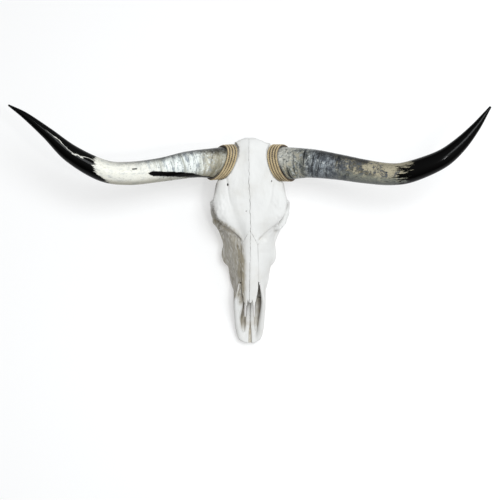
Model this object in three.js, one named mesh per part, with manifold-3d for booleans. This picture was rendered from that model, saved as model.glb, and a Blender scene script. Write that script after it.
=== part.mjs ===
// Longhorn steer skull without its lower jaw, lying as it rests on a floor.
//
// Everything is shaped in a frame of the face: u to the animal's left, v from the nose to the
// poll, w out of the forehead, in millimetres, with w = 0 on the flat of the forehead. The whole
// skull is then turned by REST_TILT, so that the cheek teeth and the two processes behind the
// ears stand on z = 0.

import * as THREE from 'three';
import { LoftGeometry } from 'three/addons/geometries/LoftGeometry.js';
import { mergeVertices } from 'three/addons/utils/BufferGeometryUtils.js';
import Module from 'manifold-3d';

const wasm = await Module();
wasm.setup();

// Driving dimensions, mm.
const REST_TILT = Math.atan( 0.19 );
const FLOOR_AT_PROCESSES = -182;
const PROCESS_V = 462;
const GAP = 0.4;
const MIDLINE = 0.2;

// Corners nearer to flat than this are left out of the finished bodies.
const FLATNESS = 0.14;
const ORBIT_CENTRE = [ 80, 321, -47 ];
const ORBIT_RADIUS = 34;
const BROW_LEVEL = -46;
const ARCH_SEAM = 392;
const NASAL_THICKNESS = 6.5;
const TOOTH_ROW_START = 150;
const TOOTH_LENGTHS = [ 16, 18, 19, 23, 26, 26 ];
const ROPE = 6.5;
const TURNS = 4;

// Corners round a horn and its root; the wrap has twice as many, so that it clears them.
const AROUND = 12;

// The horn bases, as the wraps lie round them: the centre, the lean of the ring to the side and
// towards the face, the half-axes of the ring's inside, and the run of the horn out of it.
const BASES = {
	right: { side: -1, centre: [ -71.7, 453, -31 ], roll: 24.6, lean: 33, run: [ -77.2, -8.9, 31 ] },
	left: { side: 1, centre: [ 81.7, 450.8, -31 ], roll: 14.9, lean: 35, run: [ 72.1, -4.3, 31 ] }
};
const BASE_HALF_HEIGHT = 42;
const BASE_HALF_DEPTH = 39;

// Centre line of each horn beyond its base, and the diameter there: u, v, w, diameter.
const HORNS = {
	right: [
		[ -148.8, 444, 0, 67 ],
		[ -220.7, 428.1, 25, 58.5 ],
		[ -295.7, 417.4, 50, 56.7 ],
		[ -355, 423.2, 72, 53 ],
		[ -423.2, 459.5, 98, 43.6 ],
		[ -476, 506.3, 120, 28 ],
		[ -523.5, 544.9, 136, 14 ],
		[ -559.4, 567.6, 146.4, 2.2 ]
	],
	left: [
		[ 153.8, 446.5, 0, 71 ],
		[ 220.7, 434.8, 25, 63 ],
		[ 279.2, 422.6, 46, 58 ],
		[ 339.2, 414.3, 66, 53.5 ],
		[ 384.4, 419.4, 82, 52 ],
		[ 448.9, 444.6, 104, 45 ],
		[ 488.4, 475, 117, 36 ],
		[ 525, 516.7, 131, 21 ],
		[ 557, 563.8, 146.3, 3.5 ]
	]
};

// Colours of the real surfaces.
const BONE = 0xe9e8e4;
const HORN = 0x8d8a80;
const HEMP = 0xc2a878;

const vec = ( p ) => new THREE.Vector3( ...p );
const radians = THREE.MathUtils.degToRad;

// A smooth curve through rows of [ position, value ].
function profile( rows ) {

	const rise = ( a, b ) => ( b[ 1 ] - a[ 1 ] ) / ( b[ 0 ] - a[ 0 ] || 1 );
	const slope = rows.map( ( row, i ) => {

		const before = rise( rows[ Math.max( i - 1, 0 ) ], row );
		const after = rise( row, rows[ Math.min( i + 1, rows.length - 1 ) ] );
		return before * after > 0 ? ( 2 * before * after ) / ( before + after ) : 0;

	} );

	return ( x ) => {

		const last = rows.length - 1;
		if ( x <= rows[ 0 ][ 0 ] ) return rows[ 0 ][ 1 ];
		if ( x >= rows[ last ][ 0 ] ) return rows[ last ][ 1 ];
		const i = rows.findIndex( ( row ) => row[ 0 ] > x ) - 1;
		const span = rows[ i + 1 ][ 0 ] - rows[ i ][ 0 ];
		const t = ( x - rows[ i ][ 0 ] ) / span;
		const near = ( 1 + 2 * t ) * ( 1 - t ) ** 2 * rows[ i ][ 1 ] + t * ( 1 - t ) ** 2 * span * slope[ i ];
		const far = t * t * ( 3 - 2 * t ) * rows[ i + 1 ][ 1 ] + t * t * ( t - 1 ) * span * slope[ i + 1 ];
		return near + far;

	};

}

// Turns a closed geometry into a solid with its faces outward, mirrored for side -1.
function solid( geometry, side = 1 ) {

	const bare = new THREE.BufferGeometry();
	bare.setAttribute( 'position', geometry.attributes.position.clone() );
	bare.setIndex( geometry.index );
	bare.scale( side, 1, 1 );
	const merged = mergeVertices( bare, 1e-3 );
	const place = merged.attributes.position;
	const corners = [];
	let volume = 0;

	for ( let i = 0; i < merged.index.count; i += 3 ) {

		const tri = [ 0, 1, 2 ].map( ( k ) => merged.index.getX( i + k ) );
		if ( new Set( tri ).size < 3 ) continue;
		const [ a, b, c ] = tri.map( ( k ) => new THREE.Vector3().fromBufferAttribute( place, k ) );
		volume += a.dot( b.cross( c ) );
		corners.push( tri );

	}

	const outward = volume > 0 ? corners : corners.map( ( [ a, b, c ] ) => [ a, c, b ] );
	return new wasm.Manifold( new wasm.Mesh( {
		numProp: 3,
		vertProperties: new Float32Array( place.array ),
		triVerts: new Uint32Array( outward.flat() )
	} ) );

}

// A closed skin through sections, each a list of points that wind round the way from the
// first section to the next.
function skin( sections ) {

	const [ first, second ] = sections;
	const winding = new THREE.Vector3();
	const ahead = new THREE.Vector3();

	first.forEach( ( point, i ) => {

		winding.add( point.clone().cross( first[ ( i + 1 ) % first.length ] ) );
		ahead.add( second[ i ] ).sub( point );

	} );

	const wound = winding.dot( ahead ) > 0 ? sections : sections.map( ( points ) => [ ...points ].reverse() );
	return new LoftGeometry( wound, { capStart: true, capEnd: true } );

}

// A flat outline in u and v, thickened from one w to another.
function plate( outline, low, high ) {

	const shape = new THREE.Shape( outline.map( ( [ u, v ] ) => new THREE.Vector2( u, v ) ) );
	const slab = new THREE.ExtrudeGeometry( shape, { depth: high - low, bevelEnabled: false } );
	return slab.translate( 0, 0, low );

}

// A box between two corners.
function block( from, to ) {

	const size = to.map( ( value, i ) => value - from[ i ] );
	const middle = to.map( ( value, i ) => ( value + from[ i ] ) / 2 );
	return new THREE.BoxGeometry( ...size ).translate( ...middle );

}

// An ellipsoid.
function ball( centre, radii, detail = 10 ) {

	const round = new THREE.SphereGeometry( 1, detail, Math.ceil( detail * 0.6 ) );
	return round.scale( ...radii ).translate( ...centre );

}

// A bar along a smooth line through rows of [ u, v, w, half width, half height ], its
// section an ellipse whose height leans towards the given direction.
function bar( rows, { along = 7, around = 8, up = [ 0, 0, 1 ], grow = 0 } = {} ) {

	const line = new THREE.CatmullRomCurve3( rows.map( ( row ) => vec( row.slice( 0, 3 ) ) ) );
	const wide = profile( rows.map( ( row, i ) => [ i, row[ 3 ] + grow ] ) );
	const high = profile( rows.map( ( row, i ) => [ i, row[ 4 ] + grow ] ) );
	const sections = [];

	for ( let i = 0; i <= along; i ++ ) {

		const t = i / along;
		const run = line.getTangent( t );
		const across = vec( up ).cross( run ).normalize();
		const rise = run.clone().cross( across );
		const row = t * ( rows.length - 1 );
		sections.push( Array.from( { length: around }, ( _, k ) => {

			const turn = ( k / around ) * 2 * Math.PI;
			return line.getPoint( t )
				.addScaledVector( across, wide( row ) * Math.cos( turn ) )
				.addScaledVector( rise, high( row ) * Math.sin( turn ) );

		} ) );

	}

	return skin( sections );

}

// Half of a rounded section at v: a crown on the midline, an edge out to the side and a foot
// on the midline below.
function halfSection( v, { width, crown, edge, foot, square = 3, steps = 7, grow = 0 } ) {

	const points = [];
	const power = 2 / square;

	for ( let i = 0; i <= steps; i ++ ) {

		const t = ( i / steps ) * Math.PI / 2;
		points.push( vec( [
			Math.max( ( width + grow ) * Math.sin( t ) ** power, MIDLINE - grow ),
			v,
			edge + ( crown + grow - edge ) * Math.max( Math.cos( t ), 0 ) ** power
		] ) );

	}

	for ( let i = 1; i <= steps; i ++ ) {

		const t = ( i / steps ) * Math.PI / 2;
		points.push( vec( [
			Math.max( ( width + grow ) * Math.max( Math.cos( t ), 0 ) ** power, MIDLINE - grow ),
			v,
			edge + ( foot - grow - edge ) * Math.sin( t ) ** power
		] ) );

	}

	return points;

}

const union = ( ...parts ) => parts.reduce( ( sum, part ) => sum.add( part ) );

// Evenly spaced numbers from one to another.
function range( from, to, steps ) {

	return Array.from( { length: steps + 1 }, ( _, i ) => from + ( to - from ) * i / steps );

}

// Height of the skull's top along the midline, shared by the bones that meet there.
const crown = profile( [
	[ 60, -28 ], [ 91, -24 ], [ 150, -17 ], [ 200, -12 ], [ 250, -6 ], [ 279, -2.5 ],
	[ 300, 0 ], [ 478, 0 ], [ 496, -3 ], [ 507, -8 ], [ 512, -14 ]
] );

// Height of the floor under a point of the face.
const floorAt = ( v ) => FLOOR_AT_PROCESSES + ( PROCESS_V - v ) * Math.tan( REST_TILT );

// Everything under the floor.
function floorCut() {

	const under = new THREE.BoxGeometry( 400, 900, 200 ).translate( 0, 0, -100 );
	under.rotateX( -REST_TILT ).translate( 0, PROCESS_V, FLOOR_AT_PROCESSES );
	return solid( under );

}

// Nasal bones: two arched strips, forked at the free end and pointed between the frontals.
function nasal( side, grow = 0, lift = 0 ) {

	const halfWidth = profile( [
		[ 91, 13 ], [ 108, 16 ], [ 140, 20.5 ], [ 200, 21.5 ], [ 245, 20 ], [ 262, 11 ], [ 279, 1.2 ]
	] );
	const thick = profile( [ [ 91, 3 ], [ 130, NASAL_THICKNESS ], [ 279, NASAL_THICKNESS ] ] );
	const sections = range( 91 - grow, 279 + grow, 11 ).map( ( v ) => {

		const reach = halfWidth( v ) + grow;
		const start = MIDLINE - grow;
		const arch = ( u ) => crown( v ) - 5.5 * ( u / 21.5 ) ** 2;
		const across = range( start, reach, 4 );
		return [
			...across.map( ( u ) => vec( [ u, v, arch( u ) + grow + lift ] ) ),
			...across.reverse().map( ( u ) => vec( [ u, v, arch( u ) - thick( v ) - grow ] ) )
		];

	} );
	const forkOutline = [ [ -1, 80 ], [ 7.6, 80 ], [ 7.2, 96 ], [ 6.6, 109 ], [ 4.2, 102 ], [ -1, 101 ] ];
	const fork = plate( forkOutline, -60, 10 );
	const whole = solid( skin( sections ), side );
	return grow > 0 ? whole : whole.subtract( solid( fork, side ) );

}

// Frontal bones: the plate of the forehead.
const foreheadWidth = profile( [
	[ 247, 21 ], [ 262, 36 ], [ 275, 47 ], [ 287, 58 ], [ 300, 71 ], [ 315, 81 ], [ 330, 88 ],
	[ 352, 92 ], [ 365, 90 ], [ 388, 84 ], [ 403, 82 ], [ 440, 78 ], [ 470, 66 ], [ 490, 50 ],
	[ 500, 40 ], [ 507, 27 ], [ 512, 14 ]
] );
const foreheadEdge = profile( [
	[ 247, -14 ], [ 287, -18 ], [ 315, -15 ], [ 352, -18 ], [ 388, -21 ], [ 455, -26 ], [ 512, -24 ]
] );
const foreheadFoot = profile( [
	[ 247, -22 ], [ 287, -30 ], [ 310, -38 ], [ 352, -40 ], [ 500, -40 ], [ 512, -33 ]
] );

function forehead( side, grow = 0 ) {

	const sections = [ ...range( 247 - grow, 495, 13 ), 501, 507, 512 + grow ].map( ( v ) => halfSection( v, {
		width: foreheadWidth( v ),
		crown: crown( v ),
		edge: foreheadEdge( v ),
		foot: foreheadFoot( v ),
		square: 3.6,
		steps: 5,
		grow
	} ) );
	return solid( skin( sections ), side );

}

// The frame of a horn base: the two half-axes of the ring and the run of the horn.
function baseFrame( { side, centre, roll, lean, run } ) {

	const tall = vec( [ -side * Math.sin( radians( roll ) ), Math.cos( radians( roll ) ), 0 ] );
	const normal = vec( [ side * tall.y, -side * tall.x, 0 ] ).multiplyScalar( Math.cos( radians( lean ) ) );
	normal.z = Math.sin( radians( lean ) );
	const deep = normal.clone().cross( tall );
	return { centre: vec( centre ), tall, deep, run: vec( run ).normalize() };

}

// Points of an ellipse from its centre and its two half-axes.
function ellipse( centre, tall, deep, around ) {

	return Array.from( { length: around }, ( _, k ) => {

		const turn = ( k / around ) * 2 * Math.PI;
		return centre.clone().addScaledVector( tall, Math.cos( turn ) ).addScaledVector( deep, Math.sin( turn ) );

	} );

}

// The root of the horn core, swelling out of the forehead to the horn base.
function hornRoot( name, grow = 0 ) {

	const base = BASES[ name ];
	const { centre, tall, deep, run } = baseFrame( base );
	const side = base.side;
	const start = vec( [ side * MIDLINE, 455, -30 ] );
	const inner = vec( [ side * 30, 454, -31 ] );
	const flat = deep.z < 0 ? -1 : 1;
	const at = ( back ) => centre.clone().addScaledVector( run, -back );
	const ring = ( scale ) => [
		tall.clone().multiplyScalar( BASE_HALF_HEIGHT * scale + grow ),
		deep.clone().multiplyScalar( BASE_HALF_DEPTH * scale + grow )
	];
	const sections = [
		[ start, vec( [ 0, 46 + grow, 0 ] ), vec( [ 0, 0, flat * ( 27 + grow ) ] ) ],
		[ inner, vec( [ 0, 45 + grow, 0 ] ), vec( [ 0, 0, flat * ( 31 + grow ) ] ) ],
		[ at( 16 ), ...ring( 1 ) ],
		[ at( 8 ), ...ring( 1 ) ],
		[ at( grow > 0 ? -1 : GAP / 2 ), ...ring( 1 ) ]
	];
	return solid( skin( sections.map( ( row ) => ellipse( ...row, AROUND ) ) ) );

}

// The room that a wrap and its horn take, from the near edge of the wrap outwards.
function hornRoom( name ) {

	const { centre, tall, deep, run } = baseFrame( BASES[ name ] );
	const margin = ROPE + 3.5;
	const axes = [
		tall.multiplyScalar( BASE_HALF_HEIGHT + margin ),
		deep.multiplyScalar( BASE_HALF_DEPTH + margin )
	];
	const near = ( TURNS * ROPE ) / 2 + 0.8;
	const place = ( ahead ) => centre.clone().addScaledVector( run, ahead );
	return solid( skin( [ -near, 90 ].map( ( ahead ) => ellipse( place( ahead ), ...axes, AROUND ) ) ) );

}

// The ring of the orbit, whose plane faces out, forward and a little up.
const orbitAxis = vec( [ 0.9, -0.32, 0.28 ] ).normalize();
const orbitUp = vec( [ 0, 0, 1 ] ).addScaledVector( orbitAxis, -orbitAxis.z ).normalize();
const orbitBack = orbitAxis.clone().cross( orbitUp ).negate();

// A stretch of the orbit's rim, in degrees from straight up, through back, down and front.
function rim( from, to, rows, grow ) {

	const points = range( 0, 1, rows.length - 1 ).map( ( t, i ) => {

		const turn = radians( from + ( to - from ) * t );
		const point = vec( ORBIT_CENTRE )
			.addScaledVector( orbitUp, ORBIT_RADIUS * Math.cos( turn ) )
			.addScaledVector( orbitBack, ORBIT_RADIUS * Math.sin( turn ) );
		return [ ...point.toArray(), ...rows[ i ] ];

	} );
	return bar( points, { along: 8, up: orbitAxis.toArray(), grow } );

}

// The socket of the eye: a bowl narrowing inward and back.
function orbitCut( side, grow = 0 ) {

	const sections = [
		[ 26, 33 + grow ], [ 4, 30.5 + grow ], [ -14, 29 + grow ], [ -32, 23 + grow ], [ -48, 13 ], [ -56, 5 ]
	].map( ( [ out, radius ] ) => {

		const inward = Math.min( out, 0 );
		const middle = vec( ORBIT_CENTRE ).addScaledVector( orbitAxis, out );
		middle.add( vec( [ 0, -0.28 * inward, -0.1 * inward ] ) );
		const tall = orbitUp.clone().multiplyScalar( radius );
		return ellipse( middle, tall, orbitBack.clone().multiplyScalar( radius ), 14 );

	} );
	return solid( skin( sections ), side );

}

// The upper jaw and cheek: the outside of the face from the nose to the orbit.
const faceWidth = profile( [
	[ 36, 35 ], [ 60, 39 ], [ 82, 41 ], [ 150, 41.5 ], [ 165, 45 ], [ 182, 51 ], [ 200, 58 ], [ 213, 65 ],
	[ 222, 67 ], [ 250, 66.5 ], [ 268, 67 ], [ 280, 70 ], [ 292, 76 ]
] );
const faceEdge = profile( [
	[ 36, -72 ], [ 100, -70 ], [ 150, -74 ], [ 182, -80 ], [ 222, -88 ], [ 250, -88 ], [ 292, -82 ]
] );
const alveolusWidth = profile( [
	[ 36, 29 ], [ 110, 35 ], [ 150, 50 ], [ 200, 57 ], [ 250, 61 ], [ 292, 58 ]
] );
const alveolus = profile( [
	[ 36, -82 ], [ 110, -93 ], [ 150, -106 ], [ 200, -114 ], [ 250, -120 ], [ 292, -118 ]
] );
const palate = profile( [ [ 36, -79 ], [ 100, -91 ], [ 155, -99 ], [ 250, -113 ], [ 292, -112 ] ] );

function faceSection( v ) {

	const top = crown( v );
	const shoulder = 21;
	const wide = Math.max( faceWidth( v ), shoulder + 1 );
	const points = [ [ MIDLINE, top ], [ 11, top - 1.4 ], [ shoulder, top - 5.5 ] ];

	for ( const t of [ 0.2, 0.4, 0.6, 0.8, 1 ] ) {

		const slope = Math.sin( t * Math.PI / 2 );
		points.push( [
			shoulder + ( wide - shoulder ) * ( 0.45 * slope + 0.55 * t ),
			top - 5.5 + ( faceEdge( v ) - top + 5.5 ) * t ** 1.25
		] );

	}

	const root = alveolusWidth( v );
	points.push(
		[ wide - 1.5, faceEdge( v ) - 6 ],
		[ ( wide + root ) / 2, ( faceEdge( v ) + alveolus( v ) ) / 2 - 2 ],
		[ root, alveolus( v ) ],
		[ root - 17, alveolus( v ) ],
		[ root - 21, palate( v ) ],
		[ MIDLINE, palate( v ) ]
	);
	return points.map( ( [ u, w ] ) => vec( [ u, v, w ] ) );

}

// The cavity of the nose, open above in front of the nasal bones and closing far behind.
function noseCut( side ) {

	const rows = [
		[ -20, 27, -60, 20 ], [ 30, 27, -66, 20 ], [ 60, 30.5, -76, 10 ], [ 90, 33, -80, -5 ],
		[ 115, 31, -84, -20 ], [ 136, 29, -86, -27 ], [ 160, 28, -86, -29 ], [ 200, 20, -80, -34 ],
		[ 225, 8, -70, -45 ]
	];
	const sections = rows.map( ( [ v, wide, low, high ] ) => [
		[ -3, low + 2 ], [ wide * 0.6, low ], [ wide, low + 0.25 * ( high - low ) ],
		[ wide * 1.02, low + 0.55 * ( high - low ) ], [ wide * 0.9, low + 0.85 * ( high - low ) ],
		[ wide * 0.62, high ], [ -3, high + 1 ]
	].map( ( [ u, w ] ) => vec( [ u, v, w ] ) ) );
	return solid( skin( sections ), side );

}

// The notch in the side of the nose, between the nasal bone and the edge of the jaw.
function notchCut( side ) {

	const outline = [
		[ -1, -30 ], [ 27, -30 ], [ 29, 40 ], [ 32.5, 70 ], [ 33, 92 ], [ 29, 118 ], [ 21.6, 138 ], [ -1, 100 ]
	];
	return solid( plate( outline, -60, 40 ), side );

}

// The six cheek teeth of one side, cut off at the floor by the caller.
function teeth( side ) {

	const corners = [
		[ 1, 0.35 ], [ 0.45, 1 ], [ -0.45, 1 ], [ -1, 0.4 ],
		[ -1, -0.4 ], [ -0.45, -1 ], [ 0.45, -1 ], [ 1, -0.35 ]
	];
	let start = TOOTH_ROW_START;
	return union( ...TOOTH_LENGTHS.map( ( length, i ) => {

		const middle = start + length / 2;
		start += length + 0.9;
		const out = alveolusWidth( middle ) - 8.6;
		const wide = i < 3 ? 6.8 + i * 0.6 : 9.4;
		const root = alveolus( middle );
		const levels = [ [ root + 8, 1 ], [ root - 6, 1 ], [ floorAt( middle ) - 6, 0.93 ] ];
		const sections = levels.map( ( [ w, scale ] ) => corners.map( ( [ a, b ] ) => vec( [
			out + a * wide * scale,
			middle + b * ( length / 2 ) * scale,
			w
		] ) ) );
		return solid( skin( sections ), side );

	} ) );

}

// Brow: the upper rim of the orbit, down to the level of the seams before and behind the eye.
function brow( side, grow = 0 ) {

	const upper = rim( -98, 112, [ [ 7, 6 ], [ 7, 6 ], [ 6.5, 6 ], [ 6.5, 7 ], [ 6, 7 ] ], grow );
	const below = block( [ 0, 200, -200 ], [ 200, 400, BROW_LEVEL - grow ] );
	return solid( upper, side ).subtract( solid( below, side ) );

}

// Cheek bone: the lower rim of the orbit, its root on the face and the bar running back.
function cheek( side, grow = 0 ) {

	const lower = rim( 75, 285, [ [ 5.5, 6 ], [ 5.5, 8 ], [ 5, 9 ], [ 6, 9 ], [ 7, 8 ] ], grow );
	const root = bar( [
		[ 60, 252, -84, 8, 4 ], [ 72, 284, -80, 7, 9 ], [ 86, 305, -79, 6, 9 ], [ 92, 326, -79, 6, 8 ]
	], { along: 5, grow } );
	const back = bar( [
		[ 91, 322, -80, 6, 8 ], [ 94, 345, -84, 5, 9 ], [ 90, 372, -92, 4, 8 ], [ 84, 398, -99, 4, 6 ]
	], { along: 5, grow } );
	const above = block( [ 0, 200, BROW_LEVEL - GAP + grow ], [ 200, 450, 20 ] );
	const behind = block( [ 0, ARCH_SEAM + grow, -200 ], [ 200, 450, 20 ] );
	return union( ...[ lower, root, back ].map( ( part ) => solid( part, side ) ) )
		.subtract( solid( above, side ) )
		.subtract( solid( behind, side ) );

}

// Brain case with the base of the skull, the ear region and the bar that meets the cheek bone.
function braincase() {

	const width = profile( [
		[ 292, 34 ], [ 320, 27 ], [ 345, 28 ], [ 380, 42 ], [ 420, 52 ], [ 450, 58 ], [ 478, 58 ], [ 494, 44 ]
	] );
	const foot = profile( [
		[ 292, -112 ], [ 345, -122 ], [ 400, -138 ], [ 450, -148 ], [ 478, -146 ], [ 494, -120 ]
	] );
	const whole = ( half ) => [ ...half, ...half.map( ( p ) => vec( [ -p.x, p.y, p.z ] ) ).reverse() ];
	const vault = [ ...range( 292.4, 478, 6 ), 487, 494 ].map( ( v ) => whole( halfSection( v, {
		width: width( v ),
		crown: -34,
		edge: -82,
		foot: foot( v ),
		square: 2.5,
		steps: 4
	} ) ) );
	const nape = [
		[ [ 58, 468 ], [ 48, 498 ], [ 14, 506 ], -36 ],
		[ [ 74, 462 ], [ 66, 484 ], [ 18, 500 ], -64 ],
		[ [ 73, 452 ], [ 66, 474 ], [ 20, 495 ], -96 ],
		[ [ 58, 452 ], [ 50, 474 ], [ 20, 488 ], -122 ]
	].map( ( row ) => whole( row.slice( 0, 3 ).map( ( [ u, v ] ) => vec( [ u, v, row[ 3 ] ] ) ) ) );
	const process = bar( [
		[ 56, 462, -104, 9, 12 ], [ 52, 464, -134, 7, 10 ], [ 45, 464, -164, 6, 8 ], [ 41, 462, -186, 5, 6 ]
	], { along: 4, up: [ 0, 1, 0 ] } );
	const wing = bar( [
		[ 18, 318, -104, 4, 14 ], [ 19, 334, -124, 3, 12 ], [ 20, 341, -146, 2.5, 7 ]
	], { along: 3, around: 6, up: [ 0, 1, 0 ] } );
	const arch = bar( [
		[ 50, 447, -92, 9, 9 ], [ 68, 440, -96, 8, 8 ], [ 77, 420, -101, 5, 7 ], [ 86, 385, -96, 4, 6 ]
	], { along: 5, around: 6 } );
	const ahead = block( [ 0, 300, -200 ], [ 200, ARCH_SEAM + GAP, 0 ] );
	const condyle = ball( [ 21, 478, -151 ], [ 15, 17, 20 ], 9 );
	const bulla = ball( [ 30, 436, -146 ], [ 10, 14, 15 ], 8 );
	const ear = new THREE.CylinderGeometry( 4.5, 4, 34, 6 ).rotateZ( Math.PI / 2 ).translate( 66, 455, -103 );
	const base = bar( [
		[ 0, 482, -150, 18, 9 ], [ 0, 450, -148, 19, 9 ], [ 0, 405, -141, 15, 8 ], [ 0, 350, -122, 13, 9 ]
	], { along: 4 } );
	const bump = ball( [ 0, 493, -72 ], [ 16, 13, 12 ], 8 );
	const canal = new THREE.CylinderGeometry( 18, 15, 70, 12 ).translate( 0, 488, -134 );
	const choana = bar( [
		[ 0, 270, -112, 13, 12 ], [ 0, 318, -118, 12, 18 ], [ 0, 348, -130, 10, 14 ]
	], { along: 4 } );
	const parts = [ solid( skin( vault ) ), solid( skin( nape ) ) ];

	for ( const side of [ -1, 1 ] ) {

		parts.push(
			solid( process, side ),
			solid( wing, side ),
			solid( arch, side ).subtract( solid( ahead, side ) ),
			solid( condyle, side ),
			solid( bulla, side )
		);

	}

	return union( ...parts, solid( base ), solid( bump ) )
		.subtract( solid( canal ) )
		.subtract( union( solid( ear, -1 ), solid( ear, 1 ) ) )
		.subtract( solid( choana ) );

}

// Horn: a tapering sweep whose first section lies in the slanting plane of the wrap.
function horn( name ) {

	const { centre, tall, deep, run } = baseFrame( BASES[ name ] );
	const ringTall = tall.clone().multiplyScalar( BASE_HALF_HEIGHT );
	const ringDeep = deep.clone().multiplyScalar( BASE_HALF_DEPTH );
	const rows = HORNS[ name ];
	const spine = new THREE.CatmullRomCurve3( [ centre, ...rows.map( ( row ) => vec( row.slice( 0, 3 ) ) ) ] );
	const stations = [
		[ centre.clone().addScaledVector( run, GAP / 2 ), ringTall, ringDeep ],
		[ centre.clone().addScaledVector( run, 17 ), ringTall, ringDeep ]
	];

	rows.forEach( ( row, i ) => {

		const ahead = spine.getTangent( ( i + 1 ) / rows.length );
		const up = vec( [ 0, 0, 1 ] ).cross( ahead ).normalize();
		up.multiplyScalar( Math.sign( up.y ) * row[ 3 ] / 2 );
		stations.push( [ vec( row.slice( 0, 3 ) ), up, ahead.clone().cross( up ) ] );

	} );

	const paths = [ 0, 1, 2 ].map( ( k ) => {

		return new THREE.CatmullRomCurve3( stations.map( ( station ) => station[ k ] ), false, 'catmullrom' );

	} );
	const last = stations.length - 1;
	const places = range( 1 / last, 1, last * 2 );
	const sections = places.map( ( t ) => paths.map( ( path ) => path.getPoint( t ) ) );
	return solid( skin( [ stations[ 0 ], ...sections ].map( ( row ) => ellipse( ...row, AROUND ) ) ) );

}

// Rope laid round a horn base: rings side by side, flat against the horn within.
function wrap( name ) {

	const { centre, tall, deep, run } = baseFrame( BASES[ name ] );
	const half = ( TURNS * ROPE ) / 2;
	const outline = [ [ 0.35, -half + 1.2 ] ];

	for ( let i = 0; i < TURNS; i ++ ) {

		const middle = -half + ( i + 0.5 ) * ROPE;
		if ( i > 0 ) outline.push( [ ROPE * 0.62, middle - ROPE / 2 ] );
		outline.push( [ ROPE * 1.03, middle - ROPE * 0.22 ], [ ROPE * 1.03, middle + ROPE * 0.22 ] );

	}

	outline.push( [ 0.35, half - 1.2 ] );
	const around = 2 * AROUND;
	const sections = range( 0, around, around ).map( ( k ) => {

		const turn = ( ( k % around ) / around ) * 2 * Math.PI;
		const out = tall.clone().multiplyScalar( Math.cos( turn ) * BASE_HALF_DEPTH )
			.addScaledVector( deep, Math.sin( turn ) * BASE_HALF_HEIGHT ).normalize();
		const touch = centre.clone().addScaledVector( tall, Math.cos( turn ) * BASE_HALF_HEIGHT )
			.addScaledVector( deep, Math.sin( turn ) * BASE_HALF_DEPTH );
		return outline.map( ( [ off, shift ] ) => touch.clone()
			.addScaledVector( out, off )
			.addScaledVector( run, shift ) );

	} );
	return solid( new LoftGeometry( sections ) );

}

// Incisive bone: the plate at the front of the palate with its long slot, and the blade that
// runs back along the edge of the nose to the nasal bone.
const bladeLine = [
	[ 26, 7, -70.5, 4, 4 ], [ 34.5, 38, -66.5, 4, 6 ], [ 36.5, 75, -57, 3.8, 6.5 ],
	[ 35.5, 105, -45, 3.5, 6 ], [ 30, 130, -35, 3.5, 5.5 ], [ 24.5, 151, -27, 2.5, 3.5 ]
];

function incisive( side ) {

	const outline = new THREE.Shape( [
		[ 2.6, -6 ], [ 9, -6.5 ], [ 18, -3 ], [ 25.5, 4 ], [ 32, 13 ], [ 35, 27 ],
		[ 31, 36 ], [ 25, 37 ], [ 17, 33 ], [ 12, 40 ], [ 10.6, 60 ], [ 9.5, 106 ], [ 1.6, 110 ],
		[ 1.6, 36 ], [ 1.2, 20 ]
	].map( ( [ u, v ] ) => new THREE.Vector2( u, v ) ) );
	const body = new THREE.ExtrudeGeometry( outline, { depth: 9, bevelEnabled: false } );
	body.translate( 0, 0, -9 ).rotateX( -REST_TILT ).translate( 0, 0, -66 );
	return union( solid( body, side ), solid( bar( bladeLine, { along: 9 } ), side ) );

}

// The space above the underside of the blade, seen from the side, that the jaw leaves free.
function aboveBlade( side ) {

	const underside = bladeLine.slice( 1 ).map( ( [ , v, w, , high ] ) => [ v, w - 1.15 * high - GAP ] );
	const corners = [ ...underside, [ 155, -30 ], [ 170, 40 ], [ -40, 40 ], [ -40, -120 ], [ 38, -120 ] ];
	const shape = new THREE.Shape( corners.map( ( corner ) => new THREE.Vector2( ...corner ) ) );
	const slab = new THREE.ExtrudeGeometry( shape, { depth: 120, bevelEnabled: false } );
	slab.applyMatrix4( new THREE.Matrix4().set( 0, 0, 1, -10, 1, 0, 0, 0, 0, 1, 0, 0, 0, 0, 0, 1 ) );
	return solid( slab, side );

}

const nodes = {};
const floor = floorCut();

for ( const [ name, { side } ] of Object.entries( BASES ) ) {

	const face = solid( skin( range( 36, 292, 14 ).map( faceSection ) ), side );
	const open = face.subtract( noseCut( side ) ).subtract( notchCut( side ) );
	const frontOfNose = block( [ -1, -20, -120 ], [ 31.5, 112, 20 ] );
	nodes[ `incisive_${ name }` ] = incisive( side ).subtract( nasal( side, GAP ) );
	nodes[ `maxilla_${ name }` ] = open.subtract( aboveBlade( side ) )
		.subtract( forehead( side, GAP ) )
		.subtract( solid( block( [ -1, 280, -20 ], [ 30, 300, 20 ] ), side ) )
		.subtract( nasal( side, GAP, 8 ) )
		.subtract( solid( frontOfNose, side ) )
		.subtract( orbitCut( side ) )
		.subtract( brow( side, GAP ) )
		.subtract( cheek( side, GAP ) )
		.add( teeth( side ) )
		.subtract( floor );
	nodes[ `zygomatic_${ name }` ] = cheek( side ).subtract( forehead( side, GAP ) );
	nodes[ `nasal_${ name }` ] = nasal( side );
	const plateOfForehead = forehead( side ).subtract( hornRoom( name ) );
	nodes[ `frontal_${ name }` ] = union( plateOfForehead, brow( side ), hornRoot( name ) )
		.subtract( nasal( side, GAP, 8 ) )
		.subtract( orbitCut( side ) );
	nodes[ `horn_${ name }` ] = horn( name );
	nodes[ `wrap_${ name }` ] = wrap( name );

}

nodes.braincase = braincase()
	.subtract( solid( block( [ -200, 200, -40 - GAP ], [ 200, 520, 60 ] ) ) )
	.subtract( hornRoot( 'left', GAP ) )
	.subtract( hornRoot( 'right', GAP ) )
	.subtract( hornRoom( 'left' ) )
	.subtract( hornRoom( 'right' ) )
	.subtract( orbitCut( 1 ) )
	.subtract( orbitCut( -1 ) )
	.subtract( floor );

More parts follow.
